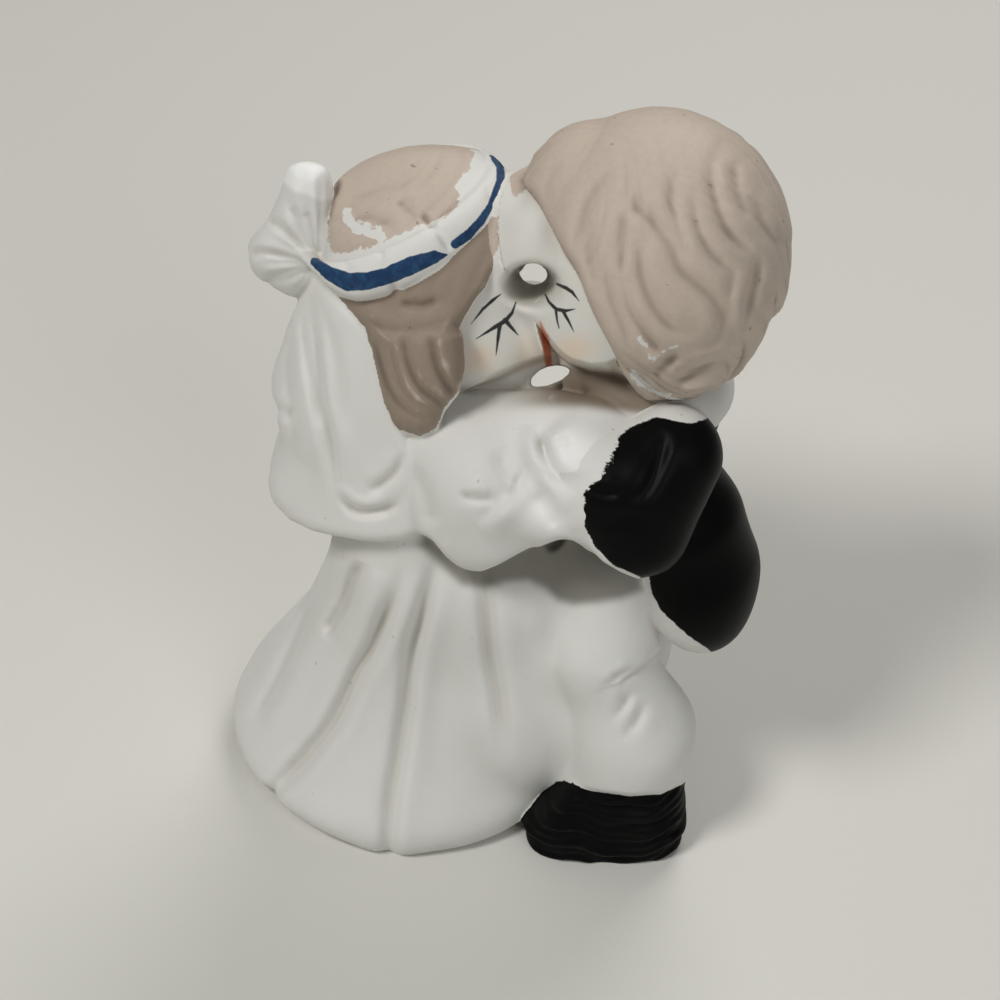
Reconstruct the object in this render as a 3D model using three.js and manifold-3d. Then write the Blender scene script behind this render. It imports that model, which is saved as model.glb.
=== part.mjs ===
// Kissing child couple, a wedding cake topper of unglazed porcelain. Millimetres, +Z up.
// The bride stands on the -X side and faces +X, the groom stands on the +X side and faces -X.
// Every piece is its own luted cast; neighbours keep a slip gap.
import * as THREE from "three";
import { mergeVertices } from "three/addons/utils/BufferGeometryUtils.js";
import Module from "manifold-3d";

const wasm = await Module();
wasm.setup();

// ---------------------------------------------------------------- driving dimensions (mm)
const GAP = 0.3; // slip joint between two casts
const WALL = 3.0; // wall of the hollow casts
const SKIRT_AXIS = [-9.4, 0];
const SKIRT_FRONT = 5.4; // fullness of the waist under the near arms
const SKIRT_TOP = 44;
const SKIRT_PROFILE = [ // radius, height
  [20.0, 0], [21.4, 0.9], [22.4, 2.2], [22.8, 3.8], [22.1, 5.6], [20.7, 8.0], [18.6, 11.2], [16.2, 15.4],
  [13.9, 20.0], [12.7, 22.8], [11.8, 25.0], [11.1, 27.6], [10.4, 30.0], [9.8, 32.4], [9.3, 35.0], [8.6, 40.0], [8.3, SKIRT_TOP],
];
const VENT_R = 1.5; // firing vent in the skirt foot
const KISS_POINT = [5.0, 0, 71.5]; // a point of the plane where the two faces meet
const KISS_NORMAL = new THREE.Vector3(0.94, 0, 0.34).normalize();
const BRIDE_HEAD = { c: [-6.0, 0, 71.2], r: [11.2, 11.4, 11.8] };
const BRIDE_HAIR = { c: [-6.6, 0, 72.0], r: [13.3, 13.3, 13.7] };
const BAND = { c: [-10.9, 0, 77.7], R: 12.1, tilt: 29, a: 1.7, b: 2.3 };
const KNOT = [-18.2, -3.2, 73.2];
const GROOM_HEAD = { c: [14.8, 0, 75.6], r: [11.2, 11.4, 11.8] };
const GROOM_HAIR = { c: [16.5, 0, 80.2], r: [14.0, 14.2, 14.4] };
const FOREHEAD = { c: [1.6, 0, 80.6], r: [6.2, 4.8, 3.9] }; // bridge between the foreheads
const MOUTH = { c: [6.1, 0, 67.2], r: [4.6, 5.2, 3.2] }; // bridge between the mouths
const COLLAR = { c: [17.6, 0, 64.6], R: 7.0, tilt: 16, a: 2.2, b: 2.3 };
const LAP = { c: [5.8, -3.6, 16.5], r: [10.8, 11.4, 17.4] }; // fullness of the skirt in front of the groom's knees
const SHOE = { c: [18.7, -8.8], half: [9.7, 5.9], turn: 16.5 };
const LEG_FOOT = 10.2; // height of the trouser hems
const VEIL_T = 2.0; // thickness of the veil

// ---------------------------------------------------------------- helpers
const V = (a) => new THREE.Vector3(...a);

// A closed three.js geometry as a solid; its faces are turned out where they point in.
function solid(geometry) {
  const g = geometry.clone();
  for (const k of Object.keys(g.attributes)) if (k !== "position") g.deleteAttribute(k);
  const m = mergeVertices(g, 1e-4);
  const src = m.index.array;
  const tri = [];
  for (let i = 0; i < src.length; i += 3) {
    const [a, b, c] = [src[i], src[i + 1], src[i + 2]];
    if (a !== b && b !== c && c !== a) tri.push(a, b, c);
  }
  const make = (t) =>
    new wasm.Manifold(
      new wasm.Mesh({ numProp: 3, vertProperties: new Float32Array(m.attributes.position.array), triVerts: new Uint32Array(t) }),
    );
  const s = make(tri);
  if (s.volume() >= 0) return s;
  const back = [];
  for (let i = 0; i < tri.length; i += 3) back.push(tri[i], tri[i + 2], tri[i + 1]);
  return make(back);
}

const add = (...s) => s.reduce((a, b) => a.add(b));
const cut = (s, ...tools) => tools.reduce((a, b) => a.subtract(b), s);
const biggest = (s) => s.decompose().sort((a, b) => b.volume() - a.volume())[0];

// Ellipsoid of centre c and half axes r, turned about Y, then Z (degrees).
function ball(c, r, g = 0, turnY = 0, turnZ = 0, nu = 18, nv = 10) {
  const [a, b, d] = Array.isArray(r) ? r : [r, r, r];
  const geo = new THREE.SphereGeometry(1, nu, nv);
  geo.rotateX(Math.PI / 2);
  geo.scale(a + g, b + g, d + g);
  geo.rotateY(THREE.MathUtils.degToRad(turnY));
  geo.rotateZ(THREE.MathUtils.degToRad(turnZ));
  geo.translate(...c);
  return solid(geo);
}

// Rounded cone from p0 (radius r0) to p1 (radius r1).
function limb(p0, r0, p1, r1, g = 0, nu = 14, caps = 3) {
  const a = V(p0), b = V(p1), L = a.distanceTo(b);
  const R0 = r0 + g, R1 = r1 + g;
  const th = Math.asin(THREE.MathUtils.clamp((R0 - R1) / L, -0.98, 0.98));
  const pts = [];
  for (let i = 0; i <= caps; i++) {
    const t = -Math.PI / 2 + (i / caps) * (th + Math.PI / 2);
    pts.push(new THREE.Vector2(i === 0 ? 0 : R0 * Math.cos(t), R0 * Math.sin(t)));
  }
  for (let i = 0; i <= caps; i++) {
    const t = th + (i / caps) * (Math.PI / 2 - th);
    pts.push(new THREE.Vector2(i === caps ? 0 : R1 * Math.cos(t), L + R1 * Math.sin(t)));
  }
  const geo = new THREE.LatheGeometry(pts, nu);
  geo.applyQuaternion(new THREE.Quaternion().setFromUnitVectors(new THREE.Vector3(0, 1, 0), b.clone().sub(a).normalize()));
  geo.translate(...p0);
  return solid(geo);
}

// Ring of elliptic section: radius R, half width a (radial), half height b (axial), tilted about Y.
function ring({ c, R, tilt, a, b }, g = 0, waves = 0, amp = 0, nu = 42, nv = 7) {
  const geo = new THREE.TorusGeometry(R, 1, nv, nu);
  const p = geo.attributes.position;
  for (let i = 0; i < p.count; i++) {
    const x = p.getX(i), y = p.getY(i), z = p.getZ(i);
    const t = Math.atan2(y, x), q = Math.hypot(x, y) - R;
    const w = 1 + amp * Math.cos(waves * t);
    const r = R + q * (a * w + g);
    p.setXYZ(i, r * Math.cos(t), r * Math.sin(t), z * (b * w + g));
  }
  geo.rotateY(THREE.MathUtils.degToRad(-tilt));
  geo.translate(...c);
  return solid(geo);
}

// The half space on the side that n points to, from the point p on, as a large block.
function half(p, n, shift = 0) {
  const geo = new THREE.BoxGeometry(160, 160, 160);
  geo.translate(0, 0, 80 + shift);
  geo.applyQuaternion(new THREE.Quaternion().setFromUnitVectors(new THREE.Vector3(0, 0, 1), n));
  geo.translate(...p);
  return solid(geo);
}
const above = (z) => half([0, 0, z], new THREE.Vector3(0, 0, 1));

// ---------------------------------------------------------------- bride
// Soft folds of the skirt: share of the radius at an angle about the axis.
function folds(t) {
  return (
    0.5 * Math.cos(9 * t + 0.6) + 0.32 * Math.cos(14 * t - 1.1) + 0.28 * Math.cos(5 * t + 2.0)
  );
}
// Radius of the skirt at an angle and a height with the fullness added to the plain radius r.
function withLap(r, t, z, g) {
  const k = 1 - ((z - LAP.c[2]) / LAP.r[2]) ** 2;
  const cx = LAP.c[0] - SKIRT_AXIS[0], cy = LAP.c[1] - SKIRT_AXIS[1];
  const ux = Math.cos(t) / LAP.r[0], uy = Math.sin(t) / LAP.r[1], qx = cx / LAP.r[0], qy = cy / LAP.r[1];
  const a = ux * ux + uy * uy, b = ux * qx + uy * qy, d = b * b - a * (qx * qx + qy * qy - k);
  if (k <= 0 || b <= 0 || d <= 0) return r;
  const chord = Math.sqrt(d) / a;
  const more = Math.max(0, b / a + chord + g - r);
  return r + more * THREE.MathUtils.smoothstep(chord, 0, 10.5);
}
function skirtOuter(g) {
  const pts = [new THREE.Vector2(0, -g)];
  SKIRT_PROFILE.forEach(([r, z], i) => pts.push(new THREE.Vector2(r + g, i === 0 ? -g : z)));
  pts[pts.length - 1].y = SKIRT_TOP + g;
  pts.push(new THREE.Vector2(0, SKIRT_TOP + g));
  const geo = new THREE.LatheGeometry(pts, 72);
  geo.rotateX(Math.PI / 2);
  const p = geo.attributes.position;
  for (let i = 0; i < p.count; i++) {
    const x = p.getX(i), y = p.getY(i), z = p.getZ(i);
    const r = Math.hypot(x, y);
    if (r < 1e-6) continue;
    const t = Math.atan2(y, x);
    const low = THREE.MathUtils.smoothstep(SKIRT_TOP - z, 4, 34);
    const front = Math.max(0, 0.4 * Math.cos(t) - 0.92 * Math.sin(t)) ** 2 * THREE.MathUtils.smoothstep(z, 8, 40);
    const R = withLap(r + 0.62 * low * folds(t) + SKIRT_FRONT * front, t, Math.max(z, 1), g);
    p.setXYZ(i, (x * R) / r, (y * R) / r, z);
  }
  geo.translate(SKIRT_AXIS[0], SKIRT_AXIS[1], 0);
  return solid(geo);
}
function skirt() {
  const pts = [new THREE.Vector2(0, WALL)];
  for (const [r, z] of SKIRT_PROFILE)
    if (z > WALL && z < SKIRT_TOP - WALL) pts.push(new THREE.Vector2(r - WALL - 0.7, z));
  pts.push(new THREE.Vector2(0, SKIRT_TOP - WALL));
  const inner = new THREE.LatheGeometry(pts, 28);
  inner.rotateX(Math.PI / 2);
  inner.translate(SKIRT_AXIS[0], SKIRT_AXIS[1], 0);
  const vent = new THREE.CylinderGeometry(VENT_R, VENT_R, 10, 20);
  vent.rotateX(Math.PI / 2);
  vent.translate(SKIRT_AXIS[0], SKIRT_AXIS[1], 0);
  return cut(skirtOuter(0), solid(inner), solid(vent));
}
const bodice = (g) =>
  add(
    limb([-8.4, 0, 47.5], 8.3, [-6.6, 0, 55.0], 7.2, g),
    ball([-6.2, 0, 55.8], [6.6, 9.4, 4.8], g),
    limb([-6.2, 0, 57.0], 4.6, [-5.6, 0, 63.5], 4.2, g),
    ball([4.5, -3.6, 51.2], [12.5, 8.4, 8.0], g),
  );
// The far limbs stand closer to the bride and to the middle: set back along x and y.
const FAR_ARM = [-4.6, -0.9];
const FAR_SLEEVE = [-2.6, 0];
const mirrored = (c, s) => [c[0], s * c[1], c[2]];
const stepped = (c, s, d = FAR_ARM) => (s < 0 ? [c[0], -c[1], c[2]] : [c[0] + d[0], c[1] + d[1], c[2]]);
function brideSleeve(s, g) {
  const m = (c) => stepped(c, s, FAR_SLEEVE);
  return s < 0
    ? add(
        limb(m([-5.0, 8.6, 57.4]), 5.2, m([2.6, 13.0, 56.4]), 5.2, g),
        limb(m([2.6, 13.0, 56.4]), 5.2, m([9.6, 13.6, 55.4]), 4.4, g),
        ball(m([3.4, 8.4, 56.8]), [8.6, 6.6, 6.0], g),
        ball(m([2.4, 13.0, 51.2]), [8.0, 5.5, 7.2], g),
      )
    : add(
        limb(m([-5.0, 8.6, 57.4]), 5.0, m([2.6, 13.0, 58.6]), 3.6, g),
        limb(m([2.6, 13.0, 58.6]), 3.6, m([9.6, 13.4, 58.4]), 3.4, g),
        ball(m([-3.0, 12.0, 53.4]), [6.0, 5.2, 7.0], g),
      );
}
const brideHand = (s, g) => ball(stepped([12.6, 15.2, s < 0 ? 54.8 : 57.4], s, FAR_SLEEVE), [3.6, 2.8, 4.2], g, 0, 0, 12, 8);
// The opening between the noses: it rises towards the near side and falls towards the far one.
const noseGap = () =>
  add(
    limb([3.55, 0, 73.75], 2.0, [3.9, -9, 78.0], 4.6, 0, 22, 5),
    limb([3.55, 0, 73.75], 2.0, [1.9, 9, 69.6], 4.4, 0, 22, 5),
  );
const brideFace = (g) =>
  add(
    ball(BRIDE_HEAD.c, BRIDE_HEAD.r, g),
    ball([-0.4, 0, 67.0], [7.2, 9.8, 6.6], g),
    ball([-8.0, 0, 66.0], [8.0, 11.2, 6.5], g),
    ball(MOUTH.c, MOUTH.r, g, 0, 0, 14, 8),
    ball(FOREHEAD.c, FOREHEAD.r, g, 0, 0, 14, 8),
  );
const brideHairBall = (g) => ball(BRIDE_HAIR.c, BRIDE_HAIR.r, g, 0, 0, 32, 18);
function brideHair(g) {
  const facePlane = half([0.2, 0, 77], new THREE.Vector3(0.993, 0, -0.12).normalize(), g);
  const neckCut = half([0, 0, 65.5 - g], new THREE.Vector3(0, 0, -1));
  return cut(brideHairBall(g), facePlane, neckCut);
}
function lock(s, g) {
  const m = (c) => mirrored(c, s);
  return add(
    limb(m([-8.2, 11.8, 70.4]), 3.5, m([-6.4, 13.6, 65.6]), 3.5, g, 22, 5),
    limb(m([-6.4, 13.6, 65.6]), 3.5, m([-3.8, 14.2, 60.2]), 1.7, g, 22, 5),
  );
}
function rosette(g) {
  const lobes = [[106, 10.2, 2.7], [136, 10.2, 3.0], [166, 10.6, 3.0], [196, 10.8, 2.9], [224, 9.2, 2.6]].map(([deg, len, w]) => {
    const t = THREE.MathUtils.degToRad(deg);
    const h = len / 2;
    return ball([KNOT[0] + Math.cos(t) * h, KNOT[1] + 0.6, KNOT[2] + Math.sin(t) * h], [h, 4.0, w], g, -deg, 0, 12, 8);
  });
  return add(ball(KNOT, [3.0, 3.0, 3.0], g, 0, 0, 12, 8), ...lobes);
}
// The veil hangs from the knot round the back: u runs from the near front edge round the back to the
// far front edge, v from the knot down to the hem, w through the thickness.
function veilPoint(u, v, off) {
  const s = 2 * u - 1; // -1 near edge, 0 back, +1 far edge
  const q = Math.abs(s);
  const top = new THREE.Vector3(-19.6 + 2.6 * q * q, s * 6.5, 71.0 + 1.5 * q);
  const ang = Math.PI + s * 2.02; // plan angle of the hem about the hem centre
  const fold = Math.cos(11 * s + 0.4) * 0.5 + Math.cos(19 * s + 1.7) * 0.28;
  const R = 16.4 + 1.3 * (1 - q) + 0.9 * fold * v * v;
  const hem = new THREE.Vector3(-8.6 + R * Math.cos(ang), -R * 0.98 * Math.sin(ang) * (s < 0 ? 1 : 1), 36.5 + 9.5 * Math.pow(q, 1.6) + 0.8 * fold);
  hem.y = (s < 0 ? -1 : 1) * Math.abs(hem.y);
  const mid = top.clone().lerp(hem, 0.45);
  const out = new THREE.Vector3(mid.x + 7.4, mid.y, 0).normalize();
  mid.addScaledVector(out, 2.2 + 4.8 * q);
  mid.z += 1.5;
  const p = top.clone().multiplyScalar((1 - v) * (1 - v)).addScaledVector(mid, 2 * v * (1 - v)).addScaledVector(hem, v * v);
  const n = new THREE.Vector3(p.x + 7.6, p.y, 0.25 * Math.hypot(p.x + 7.6, p.y)).normalize();
  return p.addScaledVector(n, off);
}
function veil(g) {
  const geo = new THREE.BoxGeometry(1, 1, 1, 26, 9, 1);
  const p = geo.attributes.position;
  for (let i = 0; i < p.count; i++) {
    const u = p.getX(i) + 0.5, v = 0.5 - p.getY(i), w = p.getZ(i) + 0.5;
    const q = veilPoint(u, v, (w - 1) * VEIL_T + (w > 0.5 ? g : -g));
    p.setXYZ(i, q.x, q.y, q.z);
  }
  return solid(geo);
}

// ---------------------------------------------------------------- groom
const groomFace = (g) =>
  add(
    ball(GROOM_HEAD.c, GROOM_HEAD.r, g),
    ball([11.6, 0, 71.4], [7.3, 9.7, 6.0], g),
    ball(MOUTH.c, MOUTH.r, g, 0, 0, 14, 8),
    ball(FOREHEAD.c, FOREHEAD.r, g, 0, 0, 14, 8),
  );
const groomHairBall = (g) => ball(GROOM_HAIR.c, GROOM_HAIR.r, g, 0, 0, 32, 18);
function groomHair(g) {
  const facePlane = half([11.4, 0, 82.2], new THREE.Vector3(-0.9, 0, -0.435).normalize(), g);
  return cut(groomHairBall(g), facePlane);
}
const collar = (g) => ring(COLLAR, g, 0, 0, 24, 7);
function jacket(g) {
  return add(
    limb([17.8, 0, 60.5], 6.9, [17.8, 0, 51.0], 6.8, g),
    ball([19.0, 0, 61.0], [6.0, 10.2, 5.2], g, 0, 14),
    limb([17.8, 0, 51.0], 6.8, [21.6, 0, 44.0], 7.4, g),
    limb([21.8, 0, 44.0], 7.6, [24.2, 0, 38.6], 7.4, g),
    ball([25.4, 0, 36.8], [6.4, 8.6, 9.0], g, 20),
    limb([18.4, 0, 63.0], 5.2, [17.6, 0, 68.0], 4.8, g),
  );
}
function groomSleeve(s, g) {
  const m = (c) => stepped(c, s);
  return add(
    limb(m([22.0, 10.0, 61.4]), 5.6, m([19.6, 14.0, 54.6]), 6.0, g),
    limb(m([19.4, 14.0, 54.6]), 5.1, m([15.6, 14.4, 60.2]), 4.5, g),
    ball(m([19.0, 13.8, 58.6]), [5.4, 5.2, 6.2], g, 0, 0, 14, 8),
  );
}
const groomHand = (s, g) => ball(stepped([12.8, 14.4, 62.2], s), [3.4, 3.0, 3.7], g, 0, 0, 12, 8);
function leg(s, g) {
  const m = (c, dx) => stepped(c, s, [dx, -0.6]);
  return add(
    limb(m([15.2, 5.4, 40.0], -2.0), 6.4, m([16.2, 7.4, 29.4], -4.0), 5.8, g),
    limb(m([16.2, 7.4, 29.4], -4.0), 5.8, m([21.0, 7.6, 17.5], -6.4), 6.9, g),
    limb(m([21.0, 7.6, 17.5], -6.4), 6.9, m([20.3, 7.5, 8.5], -6.4), 7.5, g),
  );
}
// A blunt shoe: rounded oblong in plan, upright sides, the toe lower than the instep.
function shoe(s) {
  const geo = new THREE.LatheGeometry(
    [[0, 0], [0.97, 0], [1.0, 0.12], [1.01, 0.5], [0.99, 0.85], [0.9, 1.0], [0, 1.0]].map(([r, z]) => new THREE.Vector2(r, z)), 32);
  geo.rotateX(Math.PI / 2);
  const p = geo.attributes.position;
  const root = (c) => Math.sign(c) * Math.pow(Math.abs(c), 0.7);
  for (let i = 0; i < p.count; i++) {
    const x = p.getX(i), y = p.getY(i), r = Math.hypot(x, y);
    const u = r < 1e-6 ? 0 : SHOE.half[0] * r * root(x / r), v = r < 1e-6 ? 0 : SHOE.half[1] * r * root(y / r);
    p.setXYZ(i, u, v, p.getZ(i) * (LEG_FOOT - GAP - 4.6 * THREE.MathUtils.smoothstep(-u, 3.0, 9.4)));
  }
  geo.rotateZ(THREE.MathUtils.degToRad(s < 0 ? SHOE.turn : -SHOE.turn));
  geo.translate(...stepped([SHOE.c[0], -SHOE.c[1], 0], s, [-6.4, -0.6]));
  return solid(geo);
}

// ---------------------------------------------------------------- pieces and their slip joints
const SIDES = [["near", -1], ["far", 1]];
const brideSideOfKiss = half(KISS_POINT, KISS_NORMAL.clone().negate(), GAP / 2);
const groomSideOfKiss = half(KISS_POINT, KISS_NORMAL, GAP / 2);
const grown = {
  skirt: skirtOuter(GAP),
  bodice: bodice(GAP),
  brideFace: brideFace(GAP).intersect(half(KISS_POINT, KISS_NORMAL.clone().negate(), -GAP / 2)),
  brideHair: brideHairBall(GAP).intersect(half([0.2, 0, 77], new THREE.Vector3(-0.993, 0, 0.12).normalize(), -GAP)),
  band: ring(BAND, GAP, 14, 0.1),
  rosette: rosette(GAP),
  groomFace: groomFace(GAP).intersect(half(KISS_POINT, KISS_NORMAL, -GAP / 2)),
  groomHair: groomHairBall(GAP).intersect(half([11.4, 0, 82.2], new THREE.Vector3(0.9, 0, 0.435).normalize(), -GAP)),
  collar: collar(GAP),
  jacket: jacket(GAP),
};
for (const [name, s] of SIDES) {
  grown["brideSleeve_" + name] = brideSleeve(s, GAP);
  grown["lock_" + name] = lock(s, GAP);
  grown["groomSleeve_" + name] = groomSleeve(s, GAP);
  grown["leg_" + name] = leg(s, GAP);
}

const pieces = {};
pieces.bride_skirt = skirt();
pieces.bride_bodice = cut(bodice(0).intersect(above(SKIRT_TOP + GAP)), grown.brideFace);
pieces.bride_head = cut(
  brideFace(0).intersect(brideSideOfKiss), noseGap(),
  ball([BRIDE_HEAD.c[0] - 1, 0, BRIDE_HEAD.c[2]], BRIDE_HEAD.r.map((r) => r - WALL - 1)), limb([-5.6, 0, 66], 2.6, [-5.6, 0, 54], 2.6, 0, 18),
);
pieces.groom_head = cut(
  groomFace(0).intersect(groomSideOfKiss), noseGap(),
  ball(GROOM_HEAD.c, GROOM_HEAD.r.map((r) => r - WALL)), limb([16.6, 0, 72], 2.6, [18.6, 0, 60], 2.6, 0, 18),
);
pieces.bride_hair = cut(brideHair(0), grown.brideFace, grown.bodice, grown.groomFace, noseGap());
pieces.bride_headband = cut(ring(BAND, 0, 14, 0.1), brideHairBall(GAP), grown.brideFace, grown.groomFace, grown.groomHair);
pieces.groom_hair = cut(groomHair(0), grown.groomFace, grown.brideFace, grown.brideHair, grown.band);
pieces.veil_rosette = cut(rosette(0), brideHairBall(GAP), grown.band, grown.brideFace);
pieces.groom_collar = cut(collar(0), grown.groomFace, grown.groomHair);
pieces.groom_jacket = cut(jacket(0), grown.groomFace, grown.groomHair, grown.collar, grown.skirt, grown.bodice);
for (const [name, s] of SIDES) {
  const own = "_" + name;
  pieces["bride" + own + "_sleeve"] = cut(brideSleeve(s, 0), grown.bodice, grown.brideFace, grown.skirt, grown.jacket);
  pieces["bride" + own + "_lock"] = cut(lock(s, 0), brideHairBall(GAP), grown.brideFace, grown.bodice, grown["brideSleeve" + own], grown.band);
  pieces["groom" + own + "_sleeve"] = cut(groomSleeve(s, 0), grown.jacket, grown.collar, grown.groomHair, grown.groomFace, grown["brideSleeve" + own], grown.bodice, grown.skirt);
  pieces["groom" + own + "_hand"] = cut(groomHand(s, 0), grown["groomSleeve" + own], grown["brideSleeve" + own], grown.brideFace, grown.groomFace, grown.jacket, grown["lock" + own]);
  pieces["bride" + own + "_hand"] = cut(brideHand(s, 0), grown["brideSleeve" + own], grown["groomSleeve" + own], grown.jacket, grown.bodice, groomHand(s, GAP));
  const inner = half([0, s * GAP / 2, 0], new THREE.Vector3(0, -s, 0));
  const belowHem = half([0, 0, LEG_FOOT], new THREE.Vector3(0, 0, -1));
  pieces["groom" + own + "_leg"] = cut(leg(s, 0), inner, belowHem, grown.jacket, grown.skirt, grown.bodice, grown["groomSleeve" + own], grown["brideSleeve" + own]);
  pieces["groom" + own + "_shoe"] = cut(shoe(s), inner, grown.skirt);
}
pieces.veil = cut(
  veil(0), brideHairBall(GAP), grown.brideFace, grown.band, grown.rosette, grown.bodice, grown.skirt,
  grown.brideSleeve_near, grown.brideSleeve_far, grown.lock_near, grown.lock_far,
);

// ---------------------------------------------------------------- meshes
const PAINT = {
  bisque: { color: 0xe9e4dc, roughness: 0.78, metalness: 0 },
  face: { color: 0xf0e6d8, roughness: 0.7, metalness: 0 },
  taupe: { color: 0xa5948a, roughness: 0.75, metalness: 0 },
  brown: { color: 0x7d6354, roughness: 0.75, metalness: 0 },
  black: { color: 0x262423, roughness: 0.7, metalness: 0 },
};
const LOOK = {
  bride_head: "face", groom_head: "face", bride_hair: "taupe", groom_hair: "taupe",
  bride_near_lock: "brown", bride_far_lock: "brown",
  groom_jacket: "black", groom_near_sleeve: "black", groom_far_sleeve: "black",
  groom_near_shoe: "black", groom_far_shoe: "black",
};

const couple = new THREE.Group();
couple.name = "kissing_couple";
const box = new THREE.Box3();
for (const [name, s] of Object.entries(pieces)) {
  const m = biggest(biggest(s).simplify(0.09)).getMesh();
  const v = new Float32Array(m.numVert * 3);
  for (let i = 0; i < m.numVert; i++) v.set(m.vertProperties.subarray(i * m.numProp, i * m.numProp + 3), i * 3);
  const geo = new THREE.BufferGeometry();
  geo.setAttribute("position", new THREE.BufferAttribute(v, 3));
  geo.setIndex(new THREE.BufferAttribute(new Uint32Array(m.triVerts), 1));
  geo.computeVertexNormals();
  const mesh = new THREE.Mesh(geo, new THREE.MeshStandardMaterial(PAINT[LOOK[name] || "bisque"]));
  mesh.name = name;
  geo.computeBoundingBox();
  box.union(geo.boundingBox);
  couple.add(mesh);
}
// The frame: origin under the middle of the bounding box, the feet on z = 0.
const shift = new THREE.Vector3(-(box.min.x + box.max.x) / 2, -(box.min.y + box.max.y) / 2, -box.min.z);
for (const mesh of couple.children) mesh.geometry.translate(shift.x, shift.y, shift.z);
couple.userData.shift = shift.toArray();

export default couple;
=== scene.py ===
"""Looks of the kissing couple: every cast is sculpted as one soft distance field, cut into its pieces, and painted."""

import math
from concurrent.futures import ThreadPoolExecutor

import bpy
import numpy as np
from mathutils import Matrix


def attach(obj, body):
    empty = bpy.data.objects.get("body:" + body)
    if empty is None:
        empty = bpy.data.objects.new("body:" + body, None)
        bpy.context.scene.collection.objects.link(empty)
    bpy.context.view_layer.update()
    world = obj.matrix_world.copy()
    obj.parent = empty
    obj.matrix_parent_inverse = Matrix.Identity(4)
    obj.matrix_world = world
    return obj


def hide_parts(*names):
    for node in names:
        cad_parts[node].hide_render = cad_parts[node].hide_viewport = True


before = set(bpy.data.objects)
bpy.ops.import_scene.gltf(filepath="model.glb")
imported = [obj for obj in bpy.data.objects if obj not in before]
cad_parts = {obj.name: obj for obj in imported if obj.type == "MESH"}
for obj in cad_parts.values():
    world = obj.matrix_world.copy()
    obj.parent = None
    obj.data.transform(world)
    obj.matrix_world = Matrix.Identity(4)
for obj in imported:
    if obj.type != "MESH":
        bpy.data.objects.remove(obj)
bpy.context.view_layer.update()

# ------------------------------------------------------------------ frame and viewpoint (mm)
SHIFT = np.array([0.154707, 0.155404, 0.0])  # sculpting frame to the part's own frame
AZ, EL, ROLL, DIST, FOCAL = math.radians(15), math.radians(40), math.radians(3), 260.0, 2184.0
TARGET = np.array([0.0, 4.0, 38.0])
_back = np.array([math.sin(AZ) * math.cos(EL), -math.cos(AZ) * math.cos(EL), math.sin(EL)])
CF = -_back
_right = np.array([math.cos(AZ), math.sin(AZ), 0.0])
_up = np.cross(_right, CF)
CR = math.cos(ROLL) * _right + math.sin(ROLL) * _up
CU = -math.sin(ROLL) * _right + math.cos(ROLL) * _up
CP = TARGET - DIST * CF


def seen(P, fold=0.0):
    """Where a point is seen from the viewpoint, on a 1000 wide picture; what lies beyond the fold plane is mirrored onto the near side."""
    x, y, z = P[0] - CP[0], fold - np.abs(P[1] - fold) - CP[1], P[2] - CP[2]
    w = x * CF[0] + y * CF[1] + z * CF[2]
    u = 500 + FOCAL * (x * CR[0] + y * CR[1] + z * CR[2]) / w
    v = 500 - FOCAL * (x * CU[0] + y * CU[1] + z * CU[2]) / w
    return u, v


# ------------------------------------------------------------------ distance fields
def smin(a, b, k):
    h = np.maximum(k - np.abs(a - b), 0.0) / k
    return np.minimum(a, b) - h * h * (k * 0.25)


def smax(a, b, k):
    return -smin(-a, -b, k)


def union(k, *fields):
    out = fields[0]
    for f in fields[1:]:
        out = smin(out, f, k)
    return out


def sstep(x, a, b):
    t = np.clip((x - a) / (b - a), 0.0, 1.0)
    return t * t * (3 - 2 * t)


def ell(P, c, r, ry=0.0, rz=0.0):
    x, y, z = P[0] - c[0], P[1] - c[1], P[2] - c[2]
    if rz:
        s, k = math.sin(math.radians(rz)), math.cos(math.radians(rz))
        x, y = x * k + y * s, -x * s + y * k
    if ry:
        s, k = math.sin(math.radians(ry)), math.cos(math.radians(ry))
        x, z = x * k + z * s, -x * s + z * k
    a, b, d = r
    k0 = np.sqrt((x / a) ** 2 + (y / b) ** 2 + (z / d) ** 2)
    k1 = np.sqrt((x / a**2) ** 2 + (y / b**2) ** 2 + (z / d**2) ** 2) + 1e-9
    return k0 * (k0 - 1.0) / k1


def cone(P, a, ra, b, rb):
    """Rounded cone from a (radius ra) to b (radius rb)."""
    a, b = np.asarray(a, float), np.asarray(b, float)
    ba = b - a
    l2 = float(ba @ ba)
    rr = ra - rb
    a2 = l2 - rr * rr
    il2 = 1.0 / l2
    x, y, z = P[0] - a[0], P[1] - a[1], P[2] - a[2]
    t = x * ba[0] + y * ba[1] + z * ba[2]
    q = t - l2
    x2 = (x * l2 - ba[0] * t) ** 2 + (y * l2 - ba[1] * t) ** 2 + (z * l2 - ba[2] * t) ** 2
    y2 = t * t * l2
    z2 = q * q * l2
    k = np.sign(rr) * rr * rr * x2
    mid = (np.sqrt(x2 * a2 * il2) + t * rr) * il2 - ra
    return np.where(
        np.sign(q) * a2 * z2 > k,
        np.sqrt(x2 + z2) * il2 - rb,
        np.where(np.sign(t) * a2 * y2 < k, np.sqrt(x2 + y2) * il2 - ra, mid),
    )


def chain(P, k, *nodes):
    """Rounded cones through (point, radius) nodes."""
    return union(k, *[cone(P, p, r, q, s) for (p, r), (q, s) in zip(nodes, nodes[1:])])


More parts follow.
